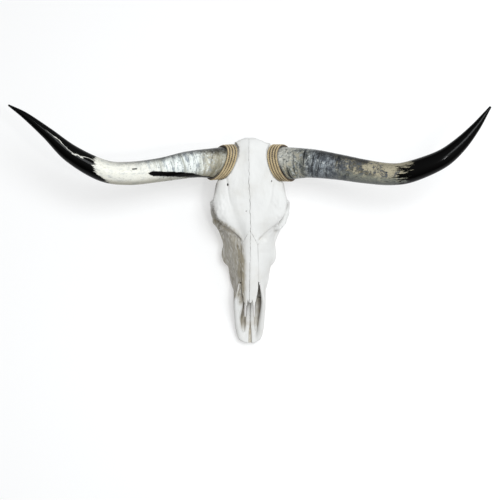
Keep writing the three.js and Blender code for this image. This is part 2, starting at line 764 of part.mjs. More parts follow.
function material( name ) {

	if ( name.startsWith( 'horn' ) ) return new THREE.MeshStandardMaterial( { color: HORN, roughness: 0.3 } );
	if ( name.startsWith( 'wrap' ) ) return new THREE.MeshStandardMaterial( { color: HEMP, roughness: 0.9 } );
	return new THREE.MeshStandardMaterial( { color: BONE, roughness: 0.7 } );

}

const face = new THREE.Group();
face.rotation.x = REST_TILT;

for ( const [ name, body ] of Object.entries( nodes ) ) {

	const { vertProperties, triVerts } = body.simplify( FLATNESS ).getMesh();
	const geometry = new THREE.BufferGeometry();
	geometry.setAttribute( 'position', new THREE.BufferAttribute( vertProperties, 3 ) );
	geometry.setIndex( new THREE.BufferAttribute( triVerts, 1 ) );
	const mesh = new THREE.Mesh( geometry, material( name ) );
	mesh.name = name;
	face.add( mesh );

}

const skull = new THREE.Group();
skull.add( face );
const bounds = new THREE.Box3().setFromObject( skull, true );
const middle = bounds.getCenter( new THREE.Vector3() );
skull.position.set( -middle.x, -middle.y, -bounds.min.z );

export default skull;
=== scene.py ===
"""Longhorn steer skull: bleached bones, two polished horns and a rope wrap at each horn base."""

import math

import bpy
import numpy as np
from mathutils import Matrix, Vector


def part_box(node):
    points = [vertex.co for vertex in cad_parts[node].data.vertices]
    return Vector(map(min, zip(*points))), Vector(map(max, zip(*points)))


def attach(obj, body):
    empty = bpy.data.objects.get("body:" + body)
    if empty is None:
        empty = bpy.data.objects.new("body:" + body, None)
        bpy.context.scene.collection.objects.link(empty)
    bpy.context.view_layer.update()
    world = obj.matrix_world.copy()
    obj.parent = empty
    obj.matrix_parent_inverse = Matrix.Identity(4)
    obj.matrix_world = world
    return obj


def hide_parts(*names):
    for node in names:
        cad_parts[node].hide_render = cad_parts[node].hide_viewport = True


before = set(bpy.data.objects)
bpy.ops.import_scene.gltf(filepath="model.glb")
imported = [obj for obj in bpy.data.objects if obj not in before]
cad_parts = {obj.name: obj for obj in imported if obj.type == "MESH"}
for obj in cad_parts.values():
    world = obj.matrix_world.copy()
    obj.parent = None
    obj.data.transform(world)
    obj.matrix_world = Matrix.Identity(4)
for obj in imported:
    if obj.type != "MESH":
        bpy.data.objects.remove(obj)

bl_info = {
    "name": "Longhorn Steer Skull",
    "version": (1, 0, 0),
    "blender": (4, 5, 0),
    "location": "3D View > Sidebar > Longhorn",
    "description": "Builds the bones, horns, rope wraps and studio of a longhorn steer skull",
    "category": "Add Mesh",
}

MM = 0.001

# The skull is drawn in its face frame, in millimetres: u runs to the animal's left, v from the
# nose to the poll, and w out of the forehead. At rest the face is tilted by TILT.
TILT = math.atan(0.19)
MIDLINE = (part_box("nasal_left")[0].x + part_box("nasal_right")[1].x) / 2 / MM
FLOOR_AT_PROCESSES = -182.0
PROCESS_V = 462.0
SHIFT = (
    MIDLINE,
    -268.54,
    -FLOOR_AT_PROCESSES * math.cos(TILT) - PROCESS_V * math.sin(TILT),
)

# How far the grid for the bones reaches from the midline, along the face and through the skull.
GRID_HALF_WIDTH = 118.0
GRID_V = (-16.0, 530.0)
GRID_W = (-200.0, 14.0)
EMPTY = 60
RELIEF_SEEDS = (3, 4, 5)
SEAM_SEEDS = (31, 32)
SEAM_GAP = 0.24
SHARP_EDGE = 58
NASAL_DROP = 8.5
NASAL_HALF_WIDTH = 21.5
NASAL_ARCH = 2.3
FACE_LEAN = 0.035
ORBIT_CENTRE = (80.0, 321.0, -47.0)
ORBIT_RADIUS = 33.0
ORBIT_AXIS = (0.9, -0.32, 0.28)
TOOTH_ROW_START = 150.0
TOOTH_LENGTHS = (16, 18, 19, 23, 26, 26)
TOOTH_INSET = 8.6
BASE_HALF_HEIGHT = 42.0
BASE_HALF_DEPTH = 39.0
WRAP_ROOM = 9.0
WRAP_END = 15.2
HORN_LENGTH = 567.0
HORN_RADIUS = 28.0
HORN_SEEDS = {"right": 11, "left": 3}

# Each horn base is a slanting ring: its centre, the turn and the lean of its plane in degrees,
# and the direction in which the horn runs.
BASES = {
    "right": {"side": -1, "centre": (-71.7, 453, -31), "roll": 24.6, "lean": 33, "run": (-77.2, -8.9, 31)},
    "left": {"side": 1, "centre": (81.7, 450.8, -31), "roll": 14.9, "lean": 35, "run": (72.1, -4.3, 31)},
}

# Middle line of each horn and its diameter there.
HORNS = {
    "right": (
        (-148.8, 444, 0, 67), (-220.7, 428.1, 25, 58.5), (-295.7, 417.4, 50, 56.7), (-355, 423.2, 72, 53),
        (-423.2, 459.5, 98, 43.6), (-476, 506.3, 120, 28), (-523.5, 544.9, 136, 16),
        (-559.4, 567.6, 146.4, 4.2),
    ),
    "left": (
        (153.8, 446.5, 0, 71), (220.7, 434.8, 25, 63), (279.2, 422.6, 46, 58), (339.2, 414.3, 66, 53.5),
        (384.4, 419.4, 82, 52), (448.9, 444.6, 104, 45), (488.4, 475, 117, 36), (525, 516.7, 131, 22),
        (557, 563.8, 146.3, 5.0),
    ),
}


def linear(code):
    """A linear colour with alpha from an sRGB hex code."""
    parts = [int(code[i : i + 2], 16) / 255 for i in (1, 3, 5)]
    return tuple(x / 12.92 if x <= 0.04045 else ((x + 0.055) / 1.055) ** 2.4 for x in parts) + (1.0,)


def length_property(name, text, default):
    """A length in millimetres, kept in metres."""
    return bpy.props.FloatProperty(
        name=name, description=text, default=default * MM, min=0.0, unit="LENGTH", subtype="DISTANCE"
    )


def colour_property(name, text, code):
    """A colour given as an sRGB hex code."""
    return bpy.props.FloatVectorProperty(
        name=name, description=text, default=linear(code), size=4, min=0.0, max=1.0, subtype="COLOR"
    )


class LonghornSizes(bpy.types.PropertyGroup):
    """Sizes of the surface detail."""

    cell: length_property("Cell", "Spacing of the grid that the bones are drawn on", 1.6)
    rough: length_property("Relief", "Height of the uneven surface of the bones", 0.7)
    ring_height: length_property("Ring height", "Height of the growth rings on the horns", 0.32)
    ring_spacing: length_property("Ring spacing", "Mean distance between growth rings", 15.0)
    rope: length_property("Rope", "Diameter of the rope", 6.5)
    lay: length_property("Lay", "Length in which a strand goes once round the rope", 17.0)
    turns: bpy.props.IntProperty(name="Turns", description="Turns of rope at a horn base", default=4, min=1)
    seed: bpy.props.IntProperty(name="Seed", description="Seed of the growth rings and the ropes", default=7)


class LonghornColours(bpy.types.PropertyGroup):
    """Colours of the skull and its stage."""

    bone: colour_property("Bone", "Bleached bone", "#dededc")
    # Painted shade: this colour darkens and warms the hollows, the inside of the nose and the cleft of the
    # snout, and also lays real stains.
    bone_stain_and_shade: colour_property("Hollows", "Bone in the hollows, where bleach reaches less", "#aaa18e")
    # Painted shade: this colour darkens the animal's right side of the face, which lies away from the light.
    bone_painted_side_shade: colour_property("Weathered", "Bone on the weathered side of the face", "#9c9482")
    # Dark in the seams, and also painted shade: it darkens the inside of the holes and the nose and streaks
    # the shaded side.
    bone_seam_and_shade: colour_property("Seams", "Dirt in the seams between bones", "#4a443b")
    enamel: colour_property("Teeth", "Tooth enamel", "#e6dfcb")
    horn_cream: colour_property("Cream horn", "Cream middle of the pale horn", "#e9e8de")
    horn_milk: colour_property("Milky horn", "Milky lumps near the base of the pale horn", "#e9eeea")
    horn_moss: colour_property("Moss horn", "Green grey horn near the base", "#8e9083")
    horn_mist: colour_property("Misty horn", "Blue grey lumps in the smoky horn", "#9aa1a6")
    horn_slate: colour_property("Slate horn", "Slate grey horn", "#53575c")
    horn_dark: colour_property("Dark horn", "Dark rings and edges", "#242526")
    horn_brown: colour_property("Brown horn", "Brown patches of the smoky horn", "#726c58")
    horn_sand: colour_property("Sandy horn", "Sand coloured patches of the smoky horn", "#a8a18b")
    horn_black: colour_property("Black horn", "Jet black horn", "#040404")
    rope: colour_property("Rope", "Sisal fibre", "#cdb98f")
    # Painted shade: this colour darkens the yarns that lie deep between the strands and turns, besides darker
    # fibres and patches.
    rope_fibre_and_shade: colour_property("Rope shade", "Fibre between the strands", "#493823")
    floor: colour_property("Floor", "Pale studio floor", "#c6c6c6")


# ---------------------------------------------------------------- the field the bones are cut from


def curve(rows, soft=7):
    """A smooth function of v through rows of (v, value)."""
    places, values = zip(*rows)
    fine = np.arange(places[0] - 40.0, places[-1] + 41.0)
    flat = np.pad(np.interp(fine, places, values), soft, mode="edge")
    kernel = np.hanning(2 * soft + 3)[1:-1]
    smooth = np.convolve(flat, kernel / kernel.sum(), "valid")
    return lambda v: np.interp(v, fine, smooth).astype(np.float32)


# Lines and sections of the skull along v: the crown of the face, the outlines of the nasals, the
# forehead and the upper jaw, the palate and the braincase.
CROWN = curve(
    [(30, -33), (60, -28), (91, -24), (150, -17), (200, -12), (250, -6), (279, -2.5), (300, 0), (478, 0),
     (496, -3), (507, -8), (514, -16), (520, -26)], 4)
NASAL_WIDTH = curve(
    [(84, 8), (91, 11), (100, 14), (120, 18.5), (137, 20.8), (200, 21.5), (245, 20), (262, 11), (279, 1.2),
     (284, -4)], 3)
FOREHEAD_WIDTH = curve(
    [(247, 21), (262, 36), (275, 47), (287, 58), (300, 71), (315, 81), (330, 88), (352, 92), (365, 90),
     (388, 84), (403, 82), (440, 78), (470, 66), (490, 50), (500, 40), (507, 27), (513, 12), (516, 4)], 4)
FOREHEAD_EDGE = curve([(247, -14), (287, -18), (315, -15), (352, -18), (388, -21), (455, -26), (512, -24)])
FOREHEAD_FOOT = curve([(247, -26), (287, -32), (310, -38), (352, -40), (500, -40), (512, -33)])
FACE_WIDTH = curve(
    [(36, 35), (60, 39), (82, 41), (150, 41.5), (165, 45), (182, 51), (200, 58), (213, 65), (222, 67),
     (250, 66.5), (268, 67), (280, 70), (296, 77)])
FACE_EDGE = curve([(36, -72), (100, -70), (150, -74), (182, -80), (222, -88), (250, -88), (292, -82)])
ROOT_WIDTH = curve([(36, 29), (110, 35), (150, 50), (200, 57), (250, 61), (292, 58)])
ROOT_LEVEL = curve([(36, -82), (110, -93), (150, -106), (200, -114), (250, -120), (292, -118)])
PALATE = curve([(36, -79), (100, -91), (155, -99), (250, -113), (292, -112)])
VAULT_WIDTH = curve(
    [(292, 36), (320, 27), (345, 28), (380, 42), (420, 52), (450, 58), (478, 57), (494, 44), (502, 30)])
VAULT_FOOT = curve([(292, -112), (345, -122), (400, -138), (450, -148), (478, -146), (494, -120), (502, -90)])
MIDLINE_BEND = curve(
    [(60, -0.5), (120, -1.8), (210, 0.4), (290, 1.4), (350, 0.2), (400, -2.6), (505, -3.2)], 12)

# The nose cavity: v, half width, floor and roof.
NOSE = [
    (-20, 27, -60, 20), (30, 27, -66, 20), (60, 30.5, -76, 10), (90, 33, -80, -5), (115, 31, -84, -20),
    (136, 29, -86, -27), (160, 28, -86, -29), (200, 20, -80, -34), (225, 8, -70, -45), (232, 3, -62, -56),
]
# Outlines on the face: the nose opening and one incisive bone with its slot.
NOTCH = [(-30, -30), (27, -30), (29, 40), (32.5, 70), (33, 92), (29, 118), (21.6, 138), (-30, 100)]
PREMAXILLA = [
    (-9, -5.5), (9, -6.5), (18, -3), (25.5, 4), (32, 13), (35, 27), (33, 60), (31, 112), (14, 112),
    (13.6, 70), (12.6, 60), (11, 60), (9.8, 70), (9.2, 112), (-9, 112),
]
# Bars: place, half width and half height. The blade stands beside the nose; on the animal's right it
# flares inward.
BLADE = [
    (22, 7, -71, 6, 4.5), (28.5, 34, -67, 8.4, 6.5), (31.2, 58, -61.5, 7.4, 6.8), (33.5, 82, -53, 6.2, 6.4),
    (34.5, 102, -46, 5.2, 5.8), (31.5, 124, -38.5, 3.9, 4.6), (27, 143, -32, 1.9, 2.6),
]
FLARE = [
    (-28, 58, -64, 5, 4.5), (-25, 82, -57, 6, 5), (-23, 104, -50, 8, 5), (-24, 124, -43.5, 7.5, 4.5),
    (-25, 144, -37, 5, 3),
]
# Small holes: place on the face, half width and half height.
FORAMINA = (
    (-56, 391, 1.8, 3.8), (54.6, 400, 1.3, 2.6), (-2, 453, 1.1, 1.6), (-10, 326, 1.0, 1.0),
    (22.5, 150, 1.0, 2.4),
)
# Lines on the face as pairs: the groove before the eye (u, v) and the front edge of the frontal (v, u).
GROOVE = [
    (59, 410), (56.5, 394), (53, 366), (50, 354), (44, 335), (38, 312), (33, 292), (29, 262), (26, 230),
]
TEAR_SEAM = [
    (240, 8), (247, 21.5), (262, 36.5), (275, 47.5), (287, 58.5), (296, 67), (303, 86), (308, 140),
]


def midline(v):
    """Where the seam between the left and right bones runs."""
    fine = 0.45 * np.sin(v / 4.1) + 0.35 * np.sin(v / 2.3 + 1) + 0.5 * np.sin(v / 11.0)
    fine = fine * np.interp(v, [110, 260, 330], [0.25, 0.6, 1.0])
    return (MIDLINE_BEND(v) + fine).astype(np.float32)


def floor_level(v):
    """Height of the floor under a place v on the face."""
    return FLOOR_AT_PROCESSES + (PROCESS_V - v) * math.tan(TILT)


def soft_min(a, b, reach):
    """The smaller of two fields, with a fillet of that reach where they meet."""
    share = np.clip(0.5 + 0.5 * (b - a) / reach, 0, 1)
    return b * (1 - share) + a * share - reach * share * (1 - share)


def soft_max(a, b, reach):
    """The larger of two fields, with a rounding of that reach where they meet."""
    return -soft_min(-a, -b, reach)


class Field:
    """Distance to a surface on a regular grid, negative inside."""

    def __init__(self, u, v, w, values=None):
        self.axes = (u.astype(np.float32), v.astype(np.float32), w.astype(np.float32))
        shape = (len(u), len(v), len(w))
        self.values = np.full(shape, EMPTY, np.float32) if values is None else values

    def window(self, low, high, pad=14):
        """The slices of a box with room round it, and the coordinates in them."""
        cuts = []
        for axis, a, b in zip(self.axes, low, high):
            first = int(np.searchsorted(axis, a - pad))
            last = int(np.searchsorted(axis, b + pad))
            cuts.append(slice(first, max(last, first + 1)))
        u, v, w = (axis[cut] for axis, cut in zip(self.axes, cuts))
        return tuple(cuts), u[:, None, None], v[None, :, None], w[None, None, :]

    def join(self, low, high, shape, reach=3.0):
        """Adds a shape, which is a function of u, v and w."""
        cut, u, v, w = self.window(low, high)
        self.values[cut] = soft_min(self.values[cut], shape(u, v, w), reach)

    def carve(self, low, high, shape, reach=2.0):
        """Takes a shape away."""
        cut, u, v, w = self.window(low, high)
        self.values[cut] = soft_max(self.values[cut], -shape(u, v, w), reach)

    def mirrored(self):
        """The same field with its mirror image across the midline."""
        u, v, w = self.axes
        both = np.concatenate([self.values[::-1], self.values])
        return Field(np.concatenate([-u[::-1], u]), v, w, both)


def ball(centre, radii):
    """An ellipsoid."""

    def shape(u, v, w):
        p = (u - centre[0], v - centre[1], w - centre[2])
        near = np.sqrt(sum((x / r) ** 2 for x, r in zip(p, radii)))
        slope = np.sqrt(sum((x / r**2) ** 2 for x, r in zip(p, radii)))
        return near * (near - 1) / np.maximum(slope, 1e-4)

    return shape


def bar(rows, tall=2):
    """A rounded bar through rows of (u, v, w, half width, half height), tall along one axis."""

    def shape(u, v, w):
        best = None
        for a, b in zip(rows, rows[1:]):
            run = np.subtract(b[:3], a[:3])
            p = (u - a[0], v - a[1], w - a[2])
            along = np.clip(sum(x * r for x, r in zip(p, run)) / (run @ run), 0, 1)
            wide = a[3] + (b[3] - a[3]) * along
            high = a[4] + (b[4] - a[4]) * along
            off = [x - r * along for x, r in zip(p, run)]
            off[tall] = off[tall] * (wide / high)
            d = np.sqrt(sum(x * x for x in off)) - wide
            best = d if best is None else np.minimum(best, d)
        return best

    return shape


def bar_box(rows):
    """Lowest and highest corner of a bar."""
    points = np.array(rows)
    room = points[:, 3:5].max()
    return points[:, :3].min(0) - room, points[:, :3].max(0) + room


def outline(corners, x, y):
    """Signed distance to a closed outline, whose corners may change along the third axis."""
    near = None
    inside = None
    for (ax, ay), (bx, by) in zip(corners, corners[1:] + corners[:1]):
        ex, ey = bx - ax, by - ay
        px, py = x - ax, y - ay
        share = np.clip((px * ex + py * ey) / (ex * ex + ey * ey + 1e-9), 0, 1)
        gap = (px - share * ex) ** 2 + (py - share * ey) ** 2
        near = gap if near is None else np.minimum(near, gap)
        rise = np.where(np.abs(ey) < 1e-6, 1e-6, ey)
        crossed = ((ay > y) != (by > y)) & (px < ex * py / rise)
        inside = crossed if inside is None else inside ^ crossed
    return np.where(inside, -1, 1) * np.sqrt(near)


def rounded(u, w, width, crown, edge, foot, square):
    """A section with a flat crown and rounded sides, as an approximate distance."""
    high = np.where(w > edge, crown - edge, edge - foot)
    a = np.abs(u) / width
    b = np.abs(w - edge) / high
    near = (a**square + b**square) ** (1 / square) + 1e-5
    slope = np.sqrt(((a / near) ** (square - 1) / width) ** 2 + ((b / near) ** (square - 1) / high) ** 2)
    return (near - 1) / np.maximum(slope, 1e-3)


def ripple(field, size, seed):
    """Smooth noise between about -1 and 1 with features of that size along each axis."""
    source = np.random.default_rng(seed)
    lattice = source.uniform(-1, 1, [int((a[-1] - a[0]) / s) + 5 for a, s in zip(field.axes, size)])
    lattice = lattice.astype(np.float32)
    for axis, spacing in zip(field.axes, size):
        place = (axis - axis[0]) / spacing + 1
        first = np.floor(place).astype(int)
        t = (place - first)[:, None]
        weights = np.zeros((len(axis), lattice.shape[0]), np.float32)
        share = (
            (1 - t) ** 3 / 6,
            (3 * t**3 - 6 * t**2 + 4) / 6,
            (-3 * t**3 + 3 * t**2 + 3 * t + 1) / 6,
            t**3 / 6,
        )
        for k, part in enumerate(share):
            weights[np.arange(len(axis)), first - 1 + k] = part[:, 0]
        lattice = np.tensordot(lattice, weights, (0, 1))
    return lattice * 2.2


def blurred(values, cells):
    """A box blur over that many cells each way."""
    for axis in range(3):
        total = np.cumsum(values, axis=axis, dtype=np.float32)
        pad = [(0, 0)] * 3
        pad[axis] = (cells + 1, cells)
        total = np.pad(total, pad, mode="edge")
        front = [slice(None)] * 3
        back = [slice(None)] * 3
        front[axis] = slice(2 * cells + 1, None)
        back[axis] = slice(0, -2 * cells - 1)
        values = (total[tuple(front)] - total[tuple(back)]) / (2 * cells + 1)
    return values


# ---------------------------------------------------------------- the bones


def face_corners(v):
    """Corners of the section of the upper jaw at v."""
    top = CROWN(v)
    edge = FACE_EDGE(v)
    wide = np.maximum(FACE_WIDTH(v), 22)
    root = ROOT_WIDTH(v)
    level = ROOT_LEVEL(v)
    fall = np.interp(v, [225, 262, 292], [1.2, 1.8, 3.4])
    points = [(-30, top), (6, top - 0.5), (13, top - 0.32 * NASAL_DROP), (21, top - NASAL_DROP * 0.95)]
    for t in (0.2, 0.4, 0.6, 0.8, 1.0):
        slope = math.sin(t * math.pi / 2)
        high = top - NASAL_DROP
        points.append((21 + (wide - 21) * (0.45 * slope + 0.55 * t), high + (edge - high) * t**fall))
    points += [
        (wide - 1.5, edge - 6),
        ((wide + root) / 2, (edge + level) / 2 - 2),
        (root, level),
        (root - 17, level),
        (root - 21, PALATE(v)),
        (-30, PALATE(v)),
    ]
    return points


def orbit_frame():
    """The outward axis of the eye socket and two directions in the plane of its rim."""
    axis = np.array(ORBIT_AXIS) / np.linalg.norm(ORBIT_AXIS)
    up = np.array((0, 0, 1.0)) - axis * axis[2]
    up /= np.linalg.norm(up)
    return axis, up, -np.cross(axis, up)


def orbit_rim(u, v, w):
    """The ring of bone round the eye."""
    axis, up, back = orbit_frame()
    p = (u - ORBIT_CENTRE[0], v - ORBIT_CENTRE[1], w - ORBIT_CENTRE[2])
    out = sum(x * a for x, a in zip(p, axis))
    across = sum(x * a for x, a in zip(p, back)) / 1.04
    high = sum(x * a for x, a in zip(p, up))
    ring = np.sqrt(across**2 + high**2) - ORBIT_RADIUS - 1.0
    return np.sqrt(ring**2 + (out * 0.8) ** 2) - 6.0


def socket_rows():
    """The bowl of the eye socket, narrowing inward and back."""
    axis = orbit_frame()[0]
    rows = []
    for out, radius in ((4, 29.5), (-14, 27.5), (-32, 22), (-48, 12), (-56, 6)):
        inward = min(out, 0)
        point = np.array(ORBIT_CENTRE) + axis * out + np.array((0, -0.28, -0.1)) * inward
        rows.append((*point, radius, radius))
    return rows


CHEEK_ROOT = [(60, 252, -84, 6, 5), (72, 284, -80, 7, 9), (86, 305, -79, 6, 9), (92, 326, -79, 5.5, 8)]
CHEEK_BACK = [(91, 322, -80, 5, 8), (94, 345, -84, 4.5, 8.5), (90, 372, -92, 4, 8), (84, 402, -99, 3.6, 6)]
TEMPLE_BAR = [(50, 447, -92, 9, 9), (68, 440, -96, 8, 8), (77, 420, -101, 5, 7), (85, 386, -96, 3.6, 6)]
PROCESS = [(56, 462, -104, 9, 12), (52, 464, -134, 7, 10), (45, 464, -164, 6, 8), (41, 462, -190, 4.5, 6)]
WING = [(18, 312, -106, 3, 16), (19, 334, -124, 2.2, 11), (20, 343, -144, 2, 5)]
# Holes in each half: the window's two corners, the bar that is taken out and the rounding of its rim.
HOLES = (
    ((48, 450, -110), (90, 462, -96), [(52, 455, -103, 4.5, 4.5), (90, 455, -103, 5.5, 5.5)], 3),
    ((30, 140, -95), (60, 165, -65), [(34, 168, -74, 3, 4), (50, 148, -79, 4, 5)], 3),
    ((0, 200, -125), (30, 260, -95), [(21, 246, -114, 2.6, 3.5), (21, 238, -108, 2, 3)], 2),
    ((60, 285, -75), (84, 305, -45), [(80, 291, -54, 2.2, 4), (66, 284, -58, 1.6, 3)], 2),
)


def tooth_rows():
    """Middle, length and half width of each lobe of the cheek teeth."""
    rows = []
    start = TOOTH_ROW_START
    for i, length in enumerate(TOOTH_LENGTHS):
        wide = 6.4 + i * 0.6 if i < 3 else 9.2
        lobes = 1 if i < 3 else 2
        for k in range(lobes):
            middle = start + length * (k + 0.5) / lobes
            rows.append((middle, length / lobes, wide))
        start += length + 0.9
    return rows


def tooth(middle, length, wide):
    """One lobe of a cheek tooth, with its crescent worn into the biting face."""
    out = float(ROOT_WIDTH(middle)) - TOOTH_INSET
    floor = floor_level(middle)

    def shape(u, v, w):
        a = (np.abs(u - out) / wide) ** 2.6
        b = (np.abs(v - middle) / (length / 2 + 0.25)) ** 2.6
        side = ((a + b) ** (1 / 2.6) - 1) * min(wide, length / 2)
        side = side + 0.5 * np.cos((w - floor) * 0.16)
        ring = np.sqrt(((u - out) / 0.62 / wide) ** 2 + ((v - middle) / 0.6 / (length / 2)) ** 2)
        worn = 1.5 * np.exp(-(((ring - 0.75) / 0.28) ** 2)) * (w < floor + 3)
        return np.maximum(side + worn * 0.6, w - float(ROOT_LEVEL(middle)) - 10)

    return shape


def eased(share):
    """A smooth step from 0 to 1."""
    share = np.clip(share, 0, 1)
    return share * share * (3 - 2 * share)


def nasal_fall(u):
    """How far the arched nasals fall away to the sides."""
    return NASAL_DROP * (np.abs(u) / NASAL_HALF_WIDTH) ** NASAL_ARCH


def nasal_arch(u, v):
    """How far the forehead falls away to the sides before the eyes, as the arched nasals do."""
    blend = eased((v - 258) / 34)
    x = u / 24
    arch = np.minimum(nasal_fall(u), 1.1 * NASAL_DROP) * (1 - blend)
    arch = arch + 9.2 * x**2.3 / (1 + x**4) ** 0.575 * blend
    return arch * eased((318 - v) / 56)


def skull_half(field):
    """Everything but the nasal and incisive bones and the horn bosses, on one side."""
    cut, u, v, w = field.window((0, 20, -135), (90, 305, 0))
    corners = face_corners(v)
    face = outline(corners, u, w)
    face = np.maximum(face, np.maximum(34 - v, v - 300))
    face = face + np.interp(v, [258, 297], [0, 9]) * np.clip((w + 30) / 16, 0, 1)
    field.values[cut] = soft_min(field.values[cut], face, 3)

    nose = [[row[k] for row in NOSE] for k in range(4)]
    wide, low, high = (np.interp(v, nose[0], nose[k]).astype(np.float32) for k in (1, 2, 3))
    room = high - low
    cavity = [
        (-30 + 0 * wide, low + 2), (wide * 0.6, low), (wide, low + 0.25 * room),
        (wide * 1.02, low + 0.55 * room), (wide * 0.9, low + 0.85 * room), (wide * 0.62, high),
        (-30 + 0 * wide, high + 1),
    ]
    hollow = np.maximum(outline(cavity, u, w), v - 232)
    field.values[cut] = soft_max(field.values[cut], -hollow, 4)
    notch = np.maximum(outline(NOTCH, u, v), -60 - w)
    field.values[cut] = soft_max(field.values[cut], -notch, 3)

    cut, u, v, w = field.window((0, 236, -60), (100, 520, 2))
    slab = rounded(u, w, FOREHEAD_WIDTH(v), CROWN(v), FOREHEAD_EDGE(v), FOREHEAD_FOOT(v), 3.4)
    slab = slab + nasal_arch(u, v) * (1 - eased((v - 250) / 12)) * np.clip((w + 34) / 12, 0, 1)
    slab = np.maximum(slab, v - 513) + np.interp(v, [240, 268], [8, 0])
    reach = 7 + 9 * np.clip((-10 - w) / 8, 0, 1) * np.interp(v, [300, 345], [1, 0])
    field.values[cut] = soft_min(field.values[cut], slab, reach)

    cut, u, v, w = field.window((0, 290, -160), (75, 505, -20))
    vault = rounded(u, w, VAULT_WIDTH(v), -24.0, -82.0, VAULT_FOOT(v), 2.5)
    vault = np.maximum(vault, np.maximum(284 - v, v - 500))
    field.values[cut] = soft_min(field.values[cut], vault, 13)

    # The nape, the hollow before the eye socket, the socket with its rim, the cheek arch and the tuber.
    field.join((0, 440, -130), (78, 500, -40), ball((30, 458, -84), (45, 34, 46)), 16)
    field.join((0, 470, -115), (60, 508, -20), ball((0, 468, -62), (60, 36, 44)), 14)
    field.carve((48, 225, -130), (130, 380, -10), ball((96, 250, -128), (26, 44, 30)), 16)
    field.carve(*bar_box(socket_rows()), bar(socket_rows()), 6)
    field.join((40, 270, -100), (118, 372, 5), orbit_rim, 6)
    for rows in (CHEEK_ROOT, CHEEK_BACK, TEMPLE_BAR):
        field.join(*bar_box(rows), bar(rows), 6)
    field.join((30, 185, -105), (80, 245, -70), ball((56, 218, -91), (13, 22, 9)), 14)

    for middle, length, wide in tooth_rows():
        out = float(ROOT_WIDTH(middle)) - TOOTH_INSET
        low = (out - wide, middle - length / 2, floor_level(middle) - 8)
        high = (out + wide, middle + length / 2, float(ROOT_LEVEL(middle)) + 10)
        cut, u, v, w = field.window(low, high, 4)
        field.values[cut] = soft_min(field.values[cut], tooth(middle, length, wide)(u, v, w), 0.9)

    # The process behind the ear, the wing of the palate, the condyle, the ear capsule and the base.
    field.join(*bar_box(PROCESS), bar(PROCESS, 1), 9)
    field.join(*bar_box(WING), bar(WING, 1), 6)
    field.join((5, 455, -175), (40, 500, -125), ball((21, 478, -151), (15, 17, 20)), 5)
    field.join((18, 420, -165), (44, 452, -130), ball((30, 436, -146), (10, 13, 15)), 4)
    base = [(0, 482, -150, 18, 9), (0, 450, -148, 19, 9), (0, 405, -141, 15, 8), (0, 350, -122, 13, 9)]
    field.join(*bar_box(base), bar(base), 8)
    field.join((0, 478, -90), (20, 510, -55), ball((0, 495, -72), (15, 12, 12)), 10)

    def canal(u, v, w):
        return np.maximum(np.sqrt(u**2 + ((w + 134) * 1.05) ** 2) - 16.5, 452 - v)

    # The nerve canal, the hind nose opening, the ear canal and the holes of the jaw, palate and tear duct.
    field.carve((0, 450, -155), (20, 520, -110), canal, 4)
    choana = [(0, 268, -116, 13, 9), (0, 318, -120, 13, 17), (0, 350, -131, 9, 12)]
    field.carve(*bar_box(choana), bar(choana), 5)
    for low, high, rows, reach in HOLES:
        field.carve(low, high, bar(rows), reach)


def nasal_half(field):
    """One nasal bone: an arched strip, forked at its free end and pointed between the frontals."""
    cut, u, v, w = field.window((0, 84, -50), (24, 284, 2))
    arch = CROWN(v) - nasal_fall(u)
    thick = np.interp(v, [91, 130, 279], [3.2, 6.5, 6.5])
    body = np.maximum(w - arch, arch - thick - w)
    body = soft_max(body, u - NASAL_WIDTH(v), 0.5)
    body = soft_max(body, 91 + 0.02 * (u - 10) ** 2 - v, 2)
    fork = outline([(-20, 70), (8.6, 70), (7.4, 96), (6.4, 109), (4.2, 102), (0.5, 99), (-20, 99)], u, v)
    field.values[cut] = soft_max(body, -fork, 1.2)


def plate_top(v):
    """Height of the top of the snout's plate at v."""
    return -66 - 0.187 * v


def incisive_half(field):
    """One incisive bone: the slotted plate of the snout and the blade beside the nose."""
    cut, u, v, w = field.window((0, -10, -110), (46, 160, -15))
    top = plate_top(v)
    plate = outline(PREMAXILLA, u, v)
    body = soft_max(plate, np.maximum(w - top, top - 8.5 - w), 3.5)
    scoop = ball((16.5, 66, -69), (7, 46, 13))(u, v, w)
    body = soft_max(body, -scoop, 2)
    cleft = outline([(-9, -20), (4.6, -20), (3.4, 12), (0.9, 40), (0.9, 120), (-9, 120)], u, v)
    body = soft_max(body, -np.maximum(cleft, top - 5.5 - w), 1.5)
    body = soft_min(body, bar(BLADE)(u, v, w), 5)
    field.values[cut] = body


def base_frame(base):
    """Centre and the three slanting directions of a horn base: tall, deep and run."""
    side, roll, lean = base["side"], math.radians(base["roll"]), math.radians(base["lean"])
    tall = np.array((-side * math.sin(roll), math.cos(roll), 0.0))
    normal = np.array((side * tall[1], -side * tall[0], 0.0)) * math.cos(lean)
    normal[2] = math.sin(lean)
    run = np.array(base["run"], float)
    return np.array(base["centre"], float), tall, np.cross(normal, tall), run / np.linalg.norm(run)


def slanted(base, margin):
    """Distance from the slanting oval cylinder of a horn base, and the distance along it."""
    centre, tall, deep, run = base_frame(base)
    back = np.linalg.inv(np.stack([tall, deep, run], 1))

    def shape(u, v, w):
        p = (u - centre[0], v - centre[1], w - centre[2])
        a, b, along = (sum(x * m for x, m in zip(p, row)) for row in back)
        near = np.sqrt((a / (BASE_HALF_HEIGHT + margin)) ** 2 + (b / (BASE_HALF_DEPTH + margin)) ** 2)
        return (near - 1) * (BASE_HALF_DEPTH + margin) * 0.93, along

    return shape


